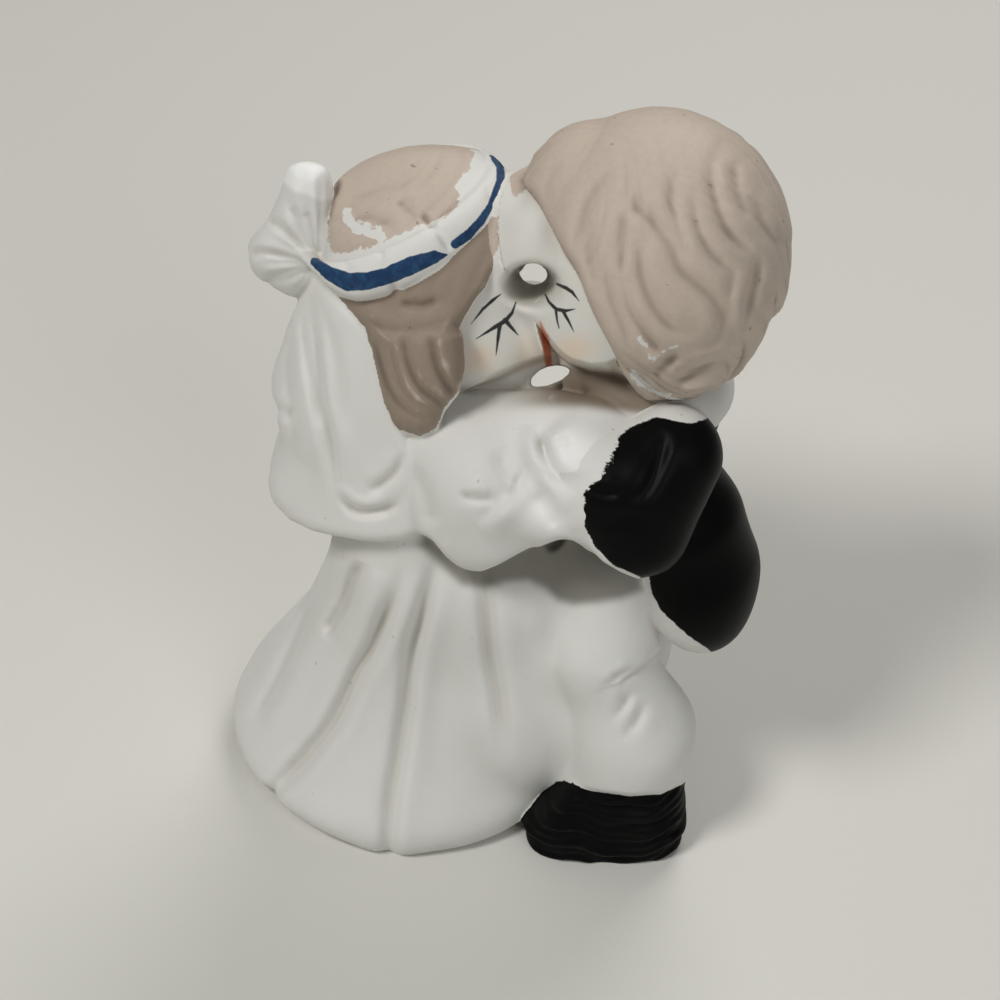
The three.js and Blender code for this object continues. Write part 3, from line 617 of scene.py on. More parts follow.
def f_groom_hair(P, uv):
    f = ell(P, GHAIR_C, GHAIR_R)
    relief, big, pol, az = hair_waves(P)
    x, y, z = P[0] - GHAIR_C[0], -np.abs(P[1]), P[2] - GHAIR_C[2]
    f = f - 1.65 * sstep((0.44 * z - 0.90 * x) / np.sqrt(x * x + y * y + z * z + 1e-6), 0.80, 0.99)
    face = -(x * CF[0] + y * CF[1] + z * CF[2]) / np.sqrt(x * x + y * y + z * z + 1e-6)
    hid = 1 - sstep(face, 0.05, 0.45)
    f = f - relief * (0.12 + 0.75 * hid) * sstep(-f, -2.5, -1.5)
    nape = ell(P, (20.2, 0, 71.2), (8.8, 10.2, 6.6), 25) - 0.3 * relief * hid
    f = smin(f, nape, 2.0)
    uv5 = seen(P, 4.0)
    for pts, d, w in HAIR_LINES:
        f = crease(f, uv5, pts, d, w, 0.55, 0.3)
    f = smax(f, -side(uv[0], uv[1], HAIRLINE_G) / 9.0 - 0.12 * big, 1.0)
    f = smax(f, 65.4 + 0.5 * big + 0.10 * (P[0] - 20) - P[2], 1.4)
    return f


def f_collar(P, uv):
    x, y, z = P[0] - 17.6, P[1], P[2] - 64.6
    t = math.radians(16)
    a = x * math.cos(t) - z * math.sin(t)
    n = x * math.sin(t) + z * math.cos(t)
    rho = np.hypot(a, y)
    q, w = (rho - 7.0) / 2.2, n / 2.3
    k0 = np.sqrt(q * q + w * w)
    k1 = np.sqrt((q / 2.2) ** 2 + (w / 2.3) ** 2) + 1e-9
    return k0 * (k0 - 1) / k1


def f_jacket(P, uv):
    return union(2.5,
        cone(P, (17.8, 0, 60.5), 6.9, (17.8, 0, 51.0), 6.8),
        ell(P, (19.0, 0, 61.0), (6.0, 10.2, 5.2), 0, 14),
        cone(P, (17.8, 0, 51.0), 6.8, (21.6, 0, 44.0), 7.4),
        cone(P, (21.8, 0, 44.0), 7.6, (24.2, 0, 38.6), 7.4),
        ell(P, (25.4, 0, 36.8), (6.4, 8.6, 9.0), 20),
        cone(P, (18.4, 0, 63.0), 5.2, (17.6, 0, 68.0), 4.8))


def f_groom_sleeve(P, uv):
    Q = shifted(P, 4.6, 0.9)
    uv = seen(Q)
    f = union(2.2,
        cone(Q, (22.0, -10.0, 61.4), 5.6, (19.6, -14.0, 54.6), 6.0),
        cone(Q, (19.4, -14.0, 54.6), 5.1, (15.6, -14.4, 60.2), 4.5),
        ell(Q, (19.0, -13.8, 58.6), (5.4, 5.2, 6.2)))
    f = crease(f, uv, [(668, 428), (660, 458), (648, 488), (630, 506)], 0.35, 7, 0.5, 0.3)
    f = crease(f, uv, [(586, 488), (604, 494), (622, 492)], 0.30, 5, 0.4, 0.3)
    f = dent(f, uv, [(600, 530), (622, 520), (650, 518)], 0.25, 8)
    return smax(f, -side(uv[0], uv[1], ARM_HEM) / 9.0, 0.55)


def f_groom_hand(P, uv):
    far = P[1].mean() > 0
    Q = shifted(P, 4.6, 0.9)
    uv = seen(Q)
    f = union(2.0, ell(Q, (12.8, -13.8, 61.6), (3.6, 3.2, 3.8), 10), cone(Q, (13.2, -14.0, 60.6), 3.6, (16.0, -14.6, 58.6), 4.6))
    if far:
        return f
    f = union(2.0, f, ell(Q, (13.0, -8.6, 57.0), (6.2, 6.6, 5.8)), cone(Q, (8.2, -9.2, 60.2), 4.3, (13.8, -9.8, 61.8), 4.3))
    return smax(arm_relief(f, uv), through(P, LOWER_HOLE), 0.5)


LEG_HEM = [(520, 778), (560, 782), (593, 790), (630, 795), (660, 793), (682, 783), (720, 768)]


def f_leg(P, uv):
    Q = shifted(P, 6.4 - 3.6 * sstep(P[2], 18, 36), 0.6)
    uv = seen(Q)
    f = union(2.5,
        cone(Q, (15.2, -3.6, 41.0), 6.2, (16.2, -7.4, 29.4), 5.8),
        cone(Q, (16.2, -7.4, 29.4), 5.8, (21.0, -7.6, 17.5), 6.9),
        cone(Q, (21.0, -7.6, 17.5), 6.9, (20.3, -7.5, 8.5), 7.7))
    # the overhang of the thigh behind the knee, and three short folds under it
    low = np.maximum(-side(uv[0], uv[1], [(540, 700), (580, 692), (600, 689), (618, 683), (632, 672), (646, 660), (668, 640)]) / 9.0, 0.0)
    f = f + 0.75 * (1 - np.exp(-low / 0.35)) * np.exp(-low / 2.6) * sstep(uv[0], 585, 625)
    f = crease(f, uv, [(596, 691), (612, 683), (626, 677), (640, 667)], 0.34, 4.5, 0.4, 0.3, 0.4)
    f = crease(f, uv, [(609, 680), (620, 674), (634, 669)], 0.26, 3.5, 0.3, 0.3, 0.4)
    f = crease(f, uv, [(631, 690), (627, 700), (620, 712), (608, 726)], 0.46, 6.0, 0.45, 0.3, 0.45)
    f = crease(f, uv, [(644, 698), (640, 712), (633, 726), (619, 746)], 0.50, 6.5, 0.45, 0.3, 0.45)
    f = smax(f, -side(uv[0], uv[1], LEG_HEM) / 9.0, 0.5)
    f = smax(smax(f, 8.8 - Q[2], 0.8), through(P, ARM_HOLE), 0.5)
    return np.maximum(f, Q[1] * 1.0)


def f_shoe(P, uv):
    Q = shifted(P, 6.4, 0.6)
    a = math.radians(16.5)
    x, y = Q[0] - 18.7, Q[1] + 8.8
    u, v, z = x * math.cos(a) + y * math.sin(a), -x * math.sin(a) + y * math.cos(a), Q[2]
    e = (np.abs(u / 9.8) ** 3.2 + np.abs(v / 5.9) ** 2.7) ** (1 / 2.95)
    f = (e - 1) * 6.0
    f = f + 0.35 * ((z - 4.0) / 5.0) ** 2
    w = z + 0.55 * np.sin(u * 0.42 + 0.6) + 0.25 * np.sin(u * 1.1 + 2.0)
    f = f - (0.16 + 0.10 * np.sin(u * 0.6 + z * 0.7)) * np.cos(w * 2 * math.pi / 2.9) - 0.07 * np.cos(w * 2 * math.pi / 1.35 + 1.2 * np.sin(u * 0.5))
    top = 12.2 - 7.4 * sstep(-u, 3.0, 9.8)
    f = smax(f, z - top, 2.0)
    f = smax(f, -z, 0.7)
    return f


PIECES = {}


def piece(name, fn, lo, hi, group, h, only=None):
    PIECES[name] = dict(fn=fn, lo=np.array(lo, float), hi=np.array(hi, float), group=group, h=h, only=only)


H = 0.32
HF = 0.25
piece("bride_skirt", f_skirt, (-33.5, -24, 0), (17.5, 24, 47), "dress", H * 1.1)
piece("bride_bodice", f_bodice, (-18, -13.5, 34), (18.5, 13, 68), "dress", H)
piece("bride_near_sleeve", f_bride_sleeve, (-11, -20, 43), (15, -2, 64), "arms", HF, -1)
piece("bride_far_sleeve", f_bride_sleeve, (-14, 2, 43), (12.5, 20, 64), "arms", H, 1)
piece("bride_near_hand", f_bride_hand, (5, -20, 48), (17.5, -10, 61), "arms", HF, -1)
piece("bride_far_hand", f_bride_hand, (2, 9, 49), (15.5, 20, 65), "arms", H, 1)
piece("bride_head", f_bride_head, (-18, -12.5, 58), (9.5, 12.5, 86), "heads", HF)
piece("groom_head", f_groom_head, (0, -12.5, 62), (27, 12.5, 89), "heads", HF)
piece("bride_hair", f_bride_hair, (-21, -14.5, 64), (5, 14.5, 87), "bhair", HF)
piece("bride_near_lock", f_lock, (-14.5, -18.5, 55), (3, -8, 75), "bhair", HF, -1)
piece("bride_far_lock", f_lock, (-14.5, 8, 55), (3, 18.5, 75), "bhair", H, 1)
piece("bride_headband", f_band, (-25, -15.5, 68), (3, 15.5, 88), "band", HF)
piece("veil_rosette", f_rosette, (-31, -10, 61), (-14, 5, 86), "veil", HF)
piece("veil", f_veil, (-29, -19.5, 32), (3, 19.5, 77), "veil", H)
piece("groom_hair", f_groom_hair, (1, -16, 62), (32, 16, 96), "ghair", HF)
piece("groom_collar", f_collar, (7, -11.5, 60), (29, 11.5, 71), "suit", H)
piece("groom_jacket", f_jacket, (9, -13, 24), (34.5, 13, 74), "suit", H)
piece("groom_near_sleeve", f_groom_sleeve, (8.5, -21.5, 47), (29.5, -2.5, 69), "arms", HF, -1)
piece("groom_far_sleeve", f_groom_sleeve, (3.5, 2.5, 47), (25, 21.5, 69), "arms", H, 1)
piece("groom_near_hand", f_groom_hand, (3.5, -19, 51), (21, -1, 68), "arms", HF, -1)
piece("groom_far_hand", f_groom_hand, (3, 9, 57), (17, 19, 68), "arms", H, 1)
piece("groom_near_leg", f_leg, (7, -17.5, 8), (30, 1, 50), "dress", H, -1)
piece("groom_far_leg", f_leg, (0.5, -1, 8), (24, 17, 50), "dress", H, 1)
piece("groom_near_shoe", f_shoe, (6, -18, 0), (30, -1, 13.5), "legs", H, -1)
piece("groom_far_shoe", f_shoe, (0, 0, 0), (24, 17.5, 13.5), "legs", H, 1)
GROUP_K = {"dress": 2.8, "arms": 1.8, "heads": 0.05, "bhair": 0.5, "band": 0.4, "veil": 0.6, "ghair": 0.4, "suit": 0.7, "legs": 0.5}
ALL_K = 0.6
FAR = 30.0


def evaluate(P, name):
    """The whole figure's field, this piece's own field and the nearest other piece's, at points."""
    own = PIECES[name]
    lo = np.array([P[0].min(), P[1].min(), P[2].min()])
    hi = np.array([P[0].max(), P[1].max(), P[2].max()])
    groups = {}
    mine = other = None
    uv_all = seen(P)
    for n, q in PIECES.items():
        pad = 1.5
        if np.any(q["hi"] + pad < lo) or np.any(q["lo"] - pad > hi):
            continue
        m = np.ones(P[0].shape, bool)
        for i in range(3):
            m &= (P[i] > q["lo"][i] - pad) & (P[i] < q["hi"][i] + pad)
        f = np.full(P[0].shape, FAR, P[0].dtype)
        if m.all():
            f = q["fn"](P, uv_all)
        elif m.any():
            S = (P[0][m], P[1][m], P[2][m])
            f[m] = q["fn"](S, (uv_all[0][m], uv_all[1][m]))
        else:
            continue
        if q["only"] is not None:
            f = np.maximum(f, -q["only"] * P[1])
        g = q["group"]
        groups[g] = f if g not in groups else smin(groups[g], f, GROUP_K[g])
        if n == name:
            mine = f
        else:
            other = f if other is None else np.minimum(other, f)
    G = None
    for f in groups.values():
        G = f if G is None else smin(G, f, ALL_K)
    G = G + 0.07 * wob(P, 26.0) + 0.025 * wob(P, 9.0, 2.0)
    if other is None:
        other = np.full(P[0].shape, FAR)
    if mine is None:
        mine = np.full(P[0].shape, FAR)
    return G, mine, other


def cell(G, mine, other):
    """A piece's own solid: its share of the figure, sunk a little where a neighbour lies over it."""
    d = mine - other
    return np.maximum(G + 0.05 * np.clip(d / 0.4, 0, 1), np.maximum(d * 0.5 - 0.12, -2.0 - 0 * d))


def nets(F, h, origin):
    """Closed quad mesh of the surface F = 0 on a grid."""
    S = F < 0
    for _ in range(8):  # corners that touch only across a face or a cell are joined
        bad = np.zeros(S.shape, bool)
        for ax in range(3):
            A = np.moveaxis(S, ax, 0)
            B = np.moveaxis(bad, ax, 0)
            p, q, r, s = A[:, :-1, :-1], A[:, 1:, :-1], A[:, :-1, 1:], A[:, 1:, 1:]
            x = (p == s) & (q == r) & (p != q)
            B[:, :-1, :-1] |= x & ~p
            B[:, 1:, :-1] |= x & ~q
        if not bad.any():
            break
        S = S | bad
        F = np.where(bad & (F >= 0), -0.02, F)
    c = [S[i:S.shape[0] - 1 + i, j:S.shape[1] - 1 + j, k:S.shape[2] - 1 + k] for i in (0, 1) for j in (0, 1) for k in (0, 1)]
    n = sum(x.astype(np.int8) for x in c)
    act = (n > 0) & (n < 8)
    ids = np.full(act.shape, -1, np.int64)
    cells = np.argwhere(act)
    ids[act] = np.arange(len(cells))
    corner = [(i, j, k) for i in (0, 1) for j in (0, 1) for k in (0, 1)]
    val = np.stack([F[cells[:, 0] + i, cells[:, 1] + j, cells[:, 2] + k] for i, j, k in corner], 1)
    ins = np.stack([S[cells[:, 0] + i, cells[:, 1] + j, cells[:, 2] + k] for i, j, k in corner], 1)
    acc = np.zeros((len(cells), 3))
    cnt = np.zeros(len(cells))
    for a in range(8):
        for b in range(a + 1, 8):
            if sum(abs(x - y) for x, y in zip(corner[a], corner[b])) != 1:
                continue
            m = ins[:, a] != ins[:, b]
            t = np.clip(val[m, a] / (val[m, a] - val[m, b] + 1e-12), 0.02, 0.98)
            pa, pb = np.array(corner[a], float), np.array(corner[b], float)
            acc[m] += pa + t[:, None] * (pb - pa)
            cnt[m] += 1
    verts = (cells + acc / cnt[:, None]) * h + origin
    quads = []
    for ax in range(3):
        b, d = (ax + 1) % 3, (ax + 2) % 3
        lo = [slice(None)] * 3
        hi = [slice(None)] * 3
        lo[ax], hi[ax] = slice(0, -1), slice(1, None)
        e = np.argwhere(S[tuple(lo)] != S[tuple(hi)])
        e = e[(e[:, b] > 0) & (e[:, d] > 0) & (e[:, b] < S.shape[b] - 1) & (e[:, d] < S.shape[d] - 1)]
        out = S[e[:, 0], e[:, 1], e[:, 2]]
        q = []
        for ob, od in ((-1, -1), (0, -1), (0, 0), (-1, 0)):
            f = e.copy()
            f[:, b] += ob
            f[:, d] += od
            q.append(ids[f[:, 0], f[:, 1], f[:, 2]])
        q = np.stack(q, 1)
        q[~out] = q[~out][:, ::-1]
        quads.append(q)
    return verts, np.concatenate(quads)


def islands(nv, quads):
    """Component label of each vertex."""
    lab = np.arange(nv)
    e = np.concatenate([quads[:, [0, 1]], quads[:, [1, 2]], quads[:, [2, 3]], quads[:, [3, 0]]])
    while True:
        m = np.minimum(lab[e[:, 0]], lab[e[:, 1]])
        new = lab.copy()
        np.minimum.at(new, e[:, 0], m)
        np.minimum.at(new, e[:, 1], m)
        new = new[new]
        if np.array_equal(new, lab):
            return lab
        lab = new


def sculpt(name):
    q = PIECES[name]
    h, c = q["h"], 4
    lo = np.floor((q["lo"] - 1.2) / h) * h
    n = np.ceil((q["hi"] + 1.2 - lo) / (h * c)).astype(int)
    gx, gy, gz = [lo[i] + h * c * np.arange(n[i] + 1) for i in range(3)]
    X, Y, Z = np.meshgrid(gx, gy, gz, indexing="ij")
    Fc = cell(*evaluate(tuple(q.ravel().astype(np.float32) for q in (X, Y, Z)), name)).reshape(X.shape)
    a = np.abs(Fc)
    near = np.minimum.reduce([a[i:a.shape[0] - 1 + i, j:a.shape[1] - 1 + j, k:a.shape[2] - 1 + k] for i in (0, 1) for j in (0, 1) for k in (0, 1)])
    act = near < h * c * 1.05 + 0.35
    F = Fc
    for ax in range(3):
        F = np.repeat(F, c, axis=ax)
    F = F[: n[0] * c + 1, : n[1] * c + 1, : n[2] * c + 1].copy()
    m = act
    for ax in range(3):
        m = np.repeat(m, c, axis=ax)
    M = np.zeros(F.shape, bool)
    for i in (0, 1):
        for j in (0, 1):
            for k in (0, 1):
                M[i:i + m.shape[0], j:j + m.shape[1], k:k + m.shape[2]] |= m
    I = np.argwhere(M)
    P = tuple((lo[i] + h * I[:, i]).astype(np.float32) for i in range(3))
    F[M] = cell(*evaluate(P, name))
    F[0], F[-1] = 1, 1
    F[:, 0], F[:, -1] = 1, 1
    F[:, :, 0], F[:, :, -1] = 1, 1
    v, f = nets(F, h, lo)
    lab = islands(len(v), f)
    u, cnt = np.unique(lab, return_counts=True)
    keep = u[cnt > max(60, 0.01 * len(v))]
    ok = np.isin(lab, keep)
    new = np.cumsum(ok) - 1
    f = new[f[ok[f[:, 0]]]]
    v = v[ok]
    # settle the vertices on the exact surface, and read normals and relief from the field
    for _ in range(1):
        Pv = (v[:, 0], v[:, 1], v[:, 2])
        g0, m0, o0 = evaluate(Pv, name)
        e = 0.15
        T = np.array([(1, 1, 1), (1, -1, -1), (-1, 1, -1), (-1, -1, 1)]) / math.sqrt(3)
        grad = np.zeros_like(v)
        for t in T:
            gi = evaluate(tuple(Pv[i] + e * t[i] for i in range(3)), name)[0]
            grad += t * gi[:, None]
        ln = np.linalg.norm(grad, axis=1)
        nrm = grad / np.maximum(ln, 1e-9)[:, None]
        slope = ln * 0.75 / e
    skin = cell(g0, m0, o0) - g0
    outer = (np.abs(g0) < 0.35 * h + 0.06) & (skin < 0.06)
    step = np.where(outer, -np.clip(g0 + np.clip(skin, 0, 0.05), -0.3 * h, 0.3 * h) / np.maximum(slope, 0.5), 0.0)
    v = v + nrm * step[:, None]
    v[:, 2] = np.maximum(v[:, 2], 0.0)
    fn = np.cross(v[f[:, 2]] - v[f[:, 0]], v[f[:, 3]] - v[f[:, 1]])
    vn = np.zeros_like(v)
    for i in range(4):
        np.add.at(vn, f[:, i], fn)
    vn /= np.maximum(np.linalg.norm(vn, axis=1), 1e-9)[:, None]
    shell = np.abs(g0) < 0.12 + 0.3 * h
    nrm = np.where(shell[:, None] & ((nrm * vn).sum(1) > -0.2)[:, None], nrm, vn)
    ew = 0.75
    far = np.zeros(len(v))
    Pv = (v[:, 0], v[:, 1], v[:, 2])
    for t in T:
        far += evaluate(tuple(Pv[i] + ew * t[i] for i in range(3)), name)[0]
    cav = np.clip((far / 4 - evaluate(Pv, name)[0]) / ew, -1, 1)
    return v, f, nrm, np.where(shell, cav, 0.0)


FOLD = {"bride_headband": 5.0, "bride_hair": 5.0, "groom_hair": 4.0}


def make(name, mat, attrs):
    v, f, nrm, cav = SHAPES[name]
    P = (v[:, 0], v[:, 1], v[:, 2])
    uv = seen(P, FOLD.get(name, 0.0))
    if name == "bride_headband":  # the far half of the band is painted like the near one
        uv = tuple(np.where(P[1] > 8.0, b, a) for a, b in zip(uv, seen(P)))
    me = bpy.data.meshes.new(name)
    me.vertices.add(len(v))
    me.vertices.foreach_set("co", ((v + SHIFT) / 1000.0).astype(np.float32).ravel())
    me.loops.add(len(f) * 4)
    me.loops.foreach_set("vertex_index", f.astype(np.int32).ravel())
    me.polygons.add(len(f))
    me.polygons.foreach_set("loop_start", np.arange(0, len(f) * 4, 4, dtype=np.int32))
    me.update(calc_edges=True)
    me.validate()
    me.polygons.foreach_set("use_smooth", np.ones(len(me.polygons), bool))
    me.normals_split_custom_set_from_vertices(nrm.astype(np.float32))
    a = me.attributes.new("seen", "FLOAT_VECTOR", "POINT")
    a.data.foreach_set("vector", np.stack([uv[0], uv[1], P[1]], 1).astype(np.float32).ravel())
    data = {"cav": cav}
    for key, fn in attrs.items():
        data[key] = fn(P, uv)
    for key, val in data.items():
        a = me.attributes.new(key, "FLOAT", "POINT")
        a.data.foreach_set("value", np.asarray(val, np.float32))
    ob = bpy.data.objects.new("look_" + name, me)
    bpy.context.scene.collection.objects.link(ob)
    me.materials.append(mat)
    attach(ob, "root")
    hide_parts(name)
    return ob


# ------------------------------------------------------------------ paint
class Paint:
    """A small helper that writes node trees."""

    def __init__(self, name, rough=0.62):
        self.m = bpy.data.materials.new(name)
        self.m.use_nodes = True
        self.t = self.m.node_tree
        self.t.nodes.clear()
        self.out = self.t.nodes.new("ShaderNodeOutputMaterial")
        self.b = self.t.nodes.new("ShaderNodeBsdfPrincipled")
        self.t.links.new(self.b.outputs[0], self.out.inputs[0])
        self.b.inputs["Roughness"].default_value = rough
        self.b.inputs["Specular IOR Level"].default_value = 0.35
        self._sep = None

    def node(self, kind, **k):
        n = self.t.nodes.new(kind)
        for a, b in k.items():
            setattr(n, a, b)
        return n

    def put(self, sock, v):
        if isinstance(v, bpy.types.NodeSocket):
            self.t.links.new(v, sock)
        elif isinstance(v, (tuple, list)) and len(v) == 3 and sock.type == "RGBA":
            sock.default_value = (*v, 1)
        else:
            sock.default_value = v

    def math(self, op, a, b=0.0, c=None, clamp=False):
        n = self.node("ShaderNodeMath", operation=op, use_clamp=clamp)
        self.put(n.inputs[0], a)
        self.put(n.inputs[1], b)
        if c is not None:
            self.put(n.inputs[2], c)
        return n.outputs[0]

    def mix(self, fac, a, b):
        n = self.node("ShaderNodeMix", data_type="RGBA")
        self.put(n.inputs[0], fac)
        self.put(n.inputs[6], a)
        self.put(n.inputs[7], b)
        return n.outputs[2]

    def attr(self, name):
        return self.node("ShaderNodeAttribute", attribute_name=name).outputs["Fac"]

    def seen(self):
        if self._sep is None:
            a = self.node("ShaderNodeAttribute", attribute_name="seen")
            s = self.node("ShaderNodeSeparateXYZ")
            self.t.links.new(a.outputs["Vector"], s.inputs[0])
            self._sep = s.outputs
        return self._sep

    def noise(self, scale, detail=3.0, rough=0.55, dist=0.0):
        """Noise in object space; scale counts waves per millimetre."""
        c = self.node("ShaderNodeTexCoord")
        n = self.node("ShaderNodeTexNoise")
        self.t.links.new(c.outputs["Object"], n.inputs["Vector"])
        n.inputs["Scale"].default_value = scale * 1000.0
        n.inputs["Detail"].default_value = detail
        n.inputs["Roughness"].default_value = rough
        n.inputs["Distortion"].default_value = dist
        return n.outputs[0]

    def ramp(self, x, lo, hi, a=0.0, b=1.0):
        n = self.node("ShaderNodeMapRange", interpolation_type="SMOOTHSTEP")
        self.put(n.inputs[0], x)
        n.inputs[1].default_value = lo
        n.inputs[2].default_value = hi
        n.inputs[3].default_value = a
        n.inputs[4].default_value = b
        return n.outputs[0]

    def stroke(self, pts, widths):
        """Distance from a painted stroke in the picture, less its half width at each point."""
        U, V = self.seen()[0], self.seen()[1]
        best = None
        for ((x0, y0), (x1, y1)), (wa, wb) in zip(zip(pts, pts[1:]), zip(widths, widths[1:])):
            ex, ey = x1 - x0, y1 - y0
            l2 = ex * ex + ey * ey
            du, dv = self.math("SUBTRACT", U, x0), self.math("SUBTRACT", V, y0)
            t = self.math("MULTIPLY_ADD", du, ex / l2, self.math("MULTIPLY", dv, ey / l2), clamp=True)
            a = self.math("MULTIPLY_ADD", t, -ex, du)
            b = self.math("MULTIPLY_ADD", t, -ey, dv)
            d = self.math("SQRT", self.math("MULTIPLY_ADD", a, a, self.math("MULTIPLY", b, b)))
            d = self.math("SUBTRACT", d, self.math("MULTIPLY_ADD", t, wb - wa, wa))
            best = d if best is None else self.math("MINIMUM", best, d)
        return best

    def color(self, c):
        self.put(self.b.inputs["Base Color"], c)

    def bump(self, h, strength, dist=0.0001):
        n = self.node("ShaderNodeBump")
        n.inputs["Strength"].default_value = strength
        n.inputs["Distance"].default_value = dist
        self.put(n.inputs["Height"], h)
        self.t.links.new(n.outputs[0], self.b.inputs["Normal"])


WHITE = (0.74, 0.735, 0.705)
SHADE = (0.47, 0.43, 0.37)
CREAM = (0.74, 0.73, 0.69)
TAUPE = (0.56, 0.47, 0.395)
TAUPE_D = (0.25, 0.19, 0.15)
BROWN = (0.31, 0.245, 0.19)
BLACK = (0.0040, 0.0040, 0.0042)
BLUE = (0.004, 0.034, 0.105)


def clay(p, base=WHITE, amount=1.0):
    """Unglazed white body: fine grain, faint stains, painted shade in the folds, painted shade under the chins, a
    painted shadow under the arms, painted light on lit patches, a painted highlight on the ridges, a few specks.
    """
    c = p.mix(p.ramp(p.noise(0.10, 3), 0.35, 0.7, 0.0, 0.35), base, tuple(x * 0.93 for x in base))
    # painted shade: darker in the folds and hollows
    fold_shade = p.ramp(p.attr("cav"), -0.03, -0.34, 0.0, 0.48 * amount)
    c = p.mix(fold_shade, c, SHADE)
    # painted brown shade under the chins
    c = p.mix(p.ramp(p.attr("stain"), 0.0, 1.0, 0.0, 0.88), c, (0.155, 0.105, 0.06))
    # painted shadow cast by the arms
    c = p.mix(p.ramp(p.attr("soot"), 0.0, 1.0, 0.0, 0.80), c, (0.135, 0.125, 0.095))
    # painted light: lighter patches where light falls
    c = p.mix(p.ramp(p.attr("clean"), 0.0, 1.0, 0.0, 0.9), c, (0.94, 0.94, 0.925))
    # painted highlight: lighter on convex ridges and rims
    c = p.mix(p.ramp(p.attr("cav"), 0.14, 0.40, 0.0, 0.45), c, (0.86, 0.85, 0.82))
    spot = p.ramp(p.noise(0.9, 1.0), 0.79, 0.81, 0.0, 0.5)
    return p.mix(spot, c, (0.36, 0.33, 0.29))


def grain(p, s=0.17):
    p.bump(p.noise(3.2, 4.0, 0.6), s)


def mat_bisque():
    p = Paint("bisque", 0.66)
    p.color(clay(p))
    p.b.inputs["Subsurface Weight"].default_value = 0.12
    p.b.inputs["Subsurface Radius"].default_value = (0.0012, 0.0009, 0.0007)
    grain(p)
    return p.m


def hair_color(p, tint=TAUPE, dark=TAUPE_D):
    c = p.mix(p.ramp(p.attr("cav"), 0.04, -0.30, 0.0, 0.8), tint, dark)
    pale = p.ramp(p.math("MULTIPLY_ADD", p.math("SUBTRACT", p.noise(0.35, 4), 0.5), 0.35, p.attr("cav")), 0.13, 0.34, 0.0, 0.6)
    c = p.mix(pale, c, (0.66, 0.585, 0.52))
    c = p.mix(p.ramp(p.noise(1.6, 4), 0.40, 0.72, 0.0, 0.22), c, tuple(x * 0.78 for x in tint))
    return p.mix(p.ramp(p.noise(0.9, 1.0), 0.755, 0.775, 0.0, 0.55), c, (0.16, 0.12, 0.095))


def bared(p, c, key="bare", rag=2.0, scale=0.8):
    """White clay where the paint is left out or worn away: the edge is ragged."""
    n = p.math("MULTIPLY", p.math("SUBTRACT", p.noise(scale, 6, 0.68), 0.5), rag)
    return p.mix(p.ramp(p.math("ADD", n, p.attr(key)), -0.06, 0.06), c, clay(p))


def mat_hair(name, tint=TAUPE, dark=TAUPE_D):
    p = Paint(name, 0.6)
    p.color(bared(p, hair_color(p, tint, dark)))
    grain(p, 0.14)
    return p.m


def mat_bride_hair():
    p = Paint("bride_hair_paint", 0.6)
    c = p.mix(p.ramp(p.attr("under"), -0.4, 0.4), hair_color(p), hair_color(p, BROWN, (0.20, 0.15, 0.115)))
    p.color(bared(p, c))
    grain(p, 0.14)
    return p.m


def mat_black(name):
    p = Paint(name, 0.40)
    p.b.inputs["Specular IOR Level"].default_value = 0.05
    c = p.mix(p.ramp(p.noise(0.7, 5), 0.45, 0.75, 0.0, 0.5), BLACK, (0.004, 0.004, 0.004))
    c = p.mix(p.ramp(p.math("MULTIPLY_ADD", p.math("SUBTRACT", p.noise(0.9, 5), 0.5), 0.3, p.attr("cav")), 0.20, 0.42, 0.0, 0.25), c, (0.09, 0.085, 0.08))
    rag = p.math("MULTIPLY", p.math("SUBTRACT", p.noise(1.1, 6, 0.72), 0.5), p.attr("rag"))
    cover = p.ramp(p.math("ADD", rag, p.attr("paint")), -0.07, 0.07)
    p.color(p.mix(cover, clay(p), c))
    grain(p, 0.12)
    return p.m


RIBBON = [
    ([(315, 262), (330, 274), (348, 282), (368, 281), (387, 276), (413, 265), (434, 257), (446, 255)], [4.5, 7, 9.3, 8.8, 8.4, 9, 6.6, 1.5]),
    ([(455, 244), (467, 236), (481, 221), (491, 205), (493, 199), (501, 180), (500, 167), (492, 156), (485, 149)], [4.6, 5, 4.2, 3.2, 3.4, 4.6, 3.8, 2.2, 1]),
]


def mat_band():
    p = Paint("band_paint", 0.62)
    c = clay(p)
    wear = p.math("MULTIPLY", p.math("SUBTRACT", p.noise(1.0, 5, 0.65), 0.5), 3.0)
    d = p.math("MINIMUM", p.stroke(*RIBBON[0]), p.stroke(*RIBBON[1]))
    ink = p.ramp(p.math("ADD", d, wear), 0.6, -0.6)
    blue = p.mix(p.ramp(p.noise(1.1, 4), 0.35, 0.75), BLUE, (0.016, 0.075, 0.175))
    c = p.mix(ink, c, blue)
    n = p.math("MULTIPLY", p.math("SUBTRACT", p.noise(0.8, 6, 0.68), 0.5), 2.0)
    hair = p.ramp(p.math("ADD", n, p.attr("crown")), -0.06, 0.06)
    p.color(p.mix(hair, c, hair_color(p)))
    grain(p)
    return p.m


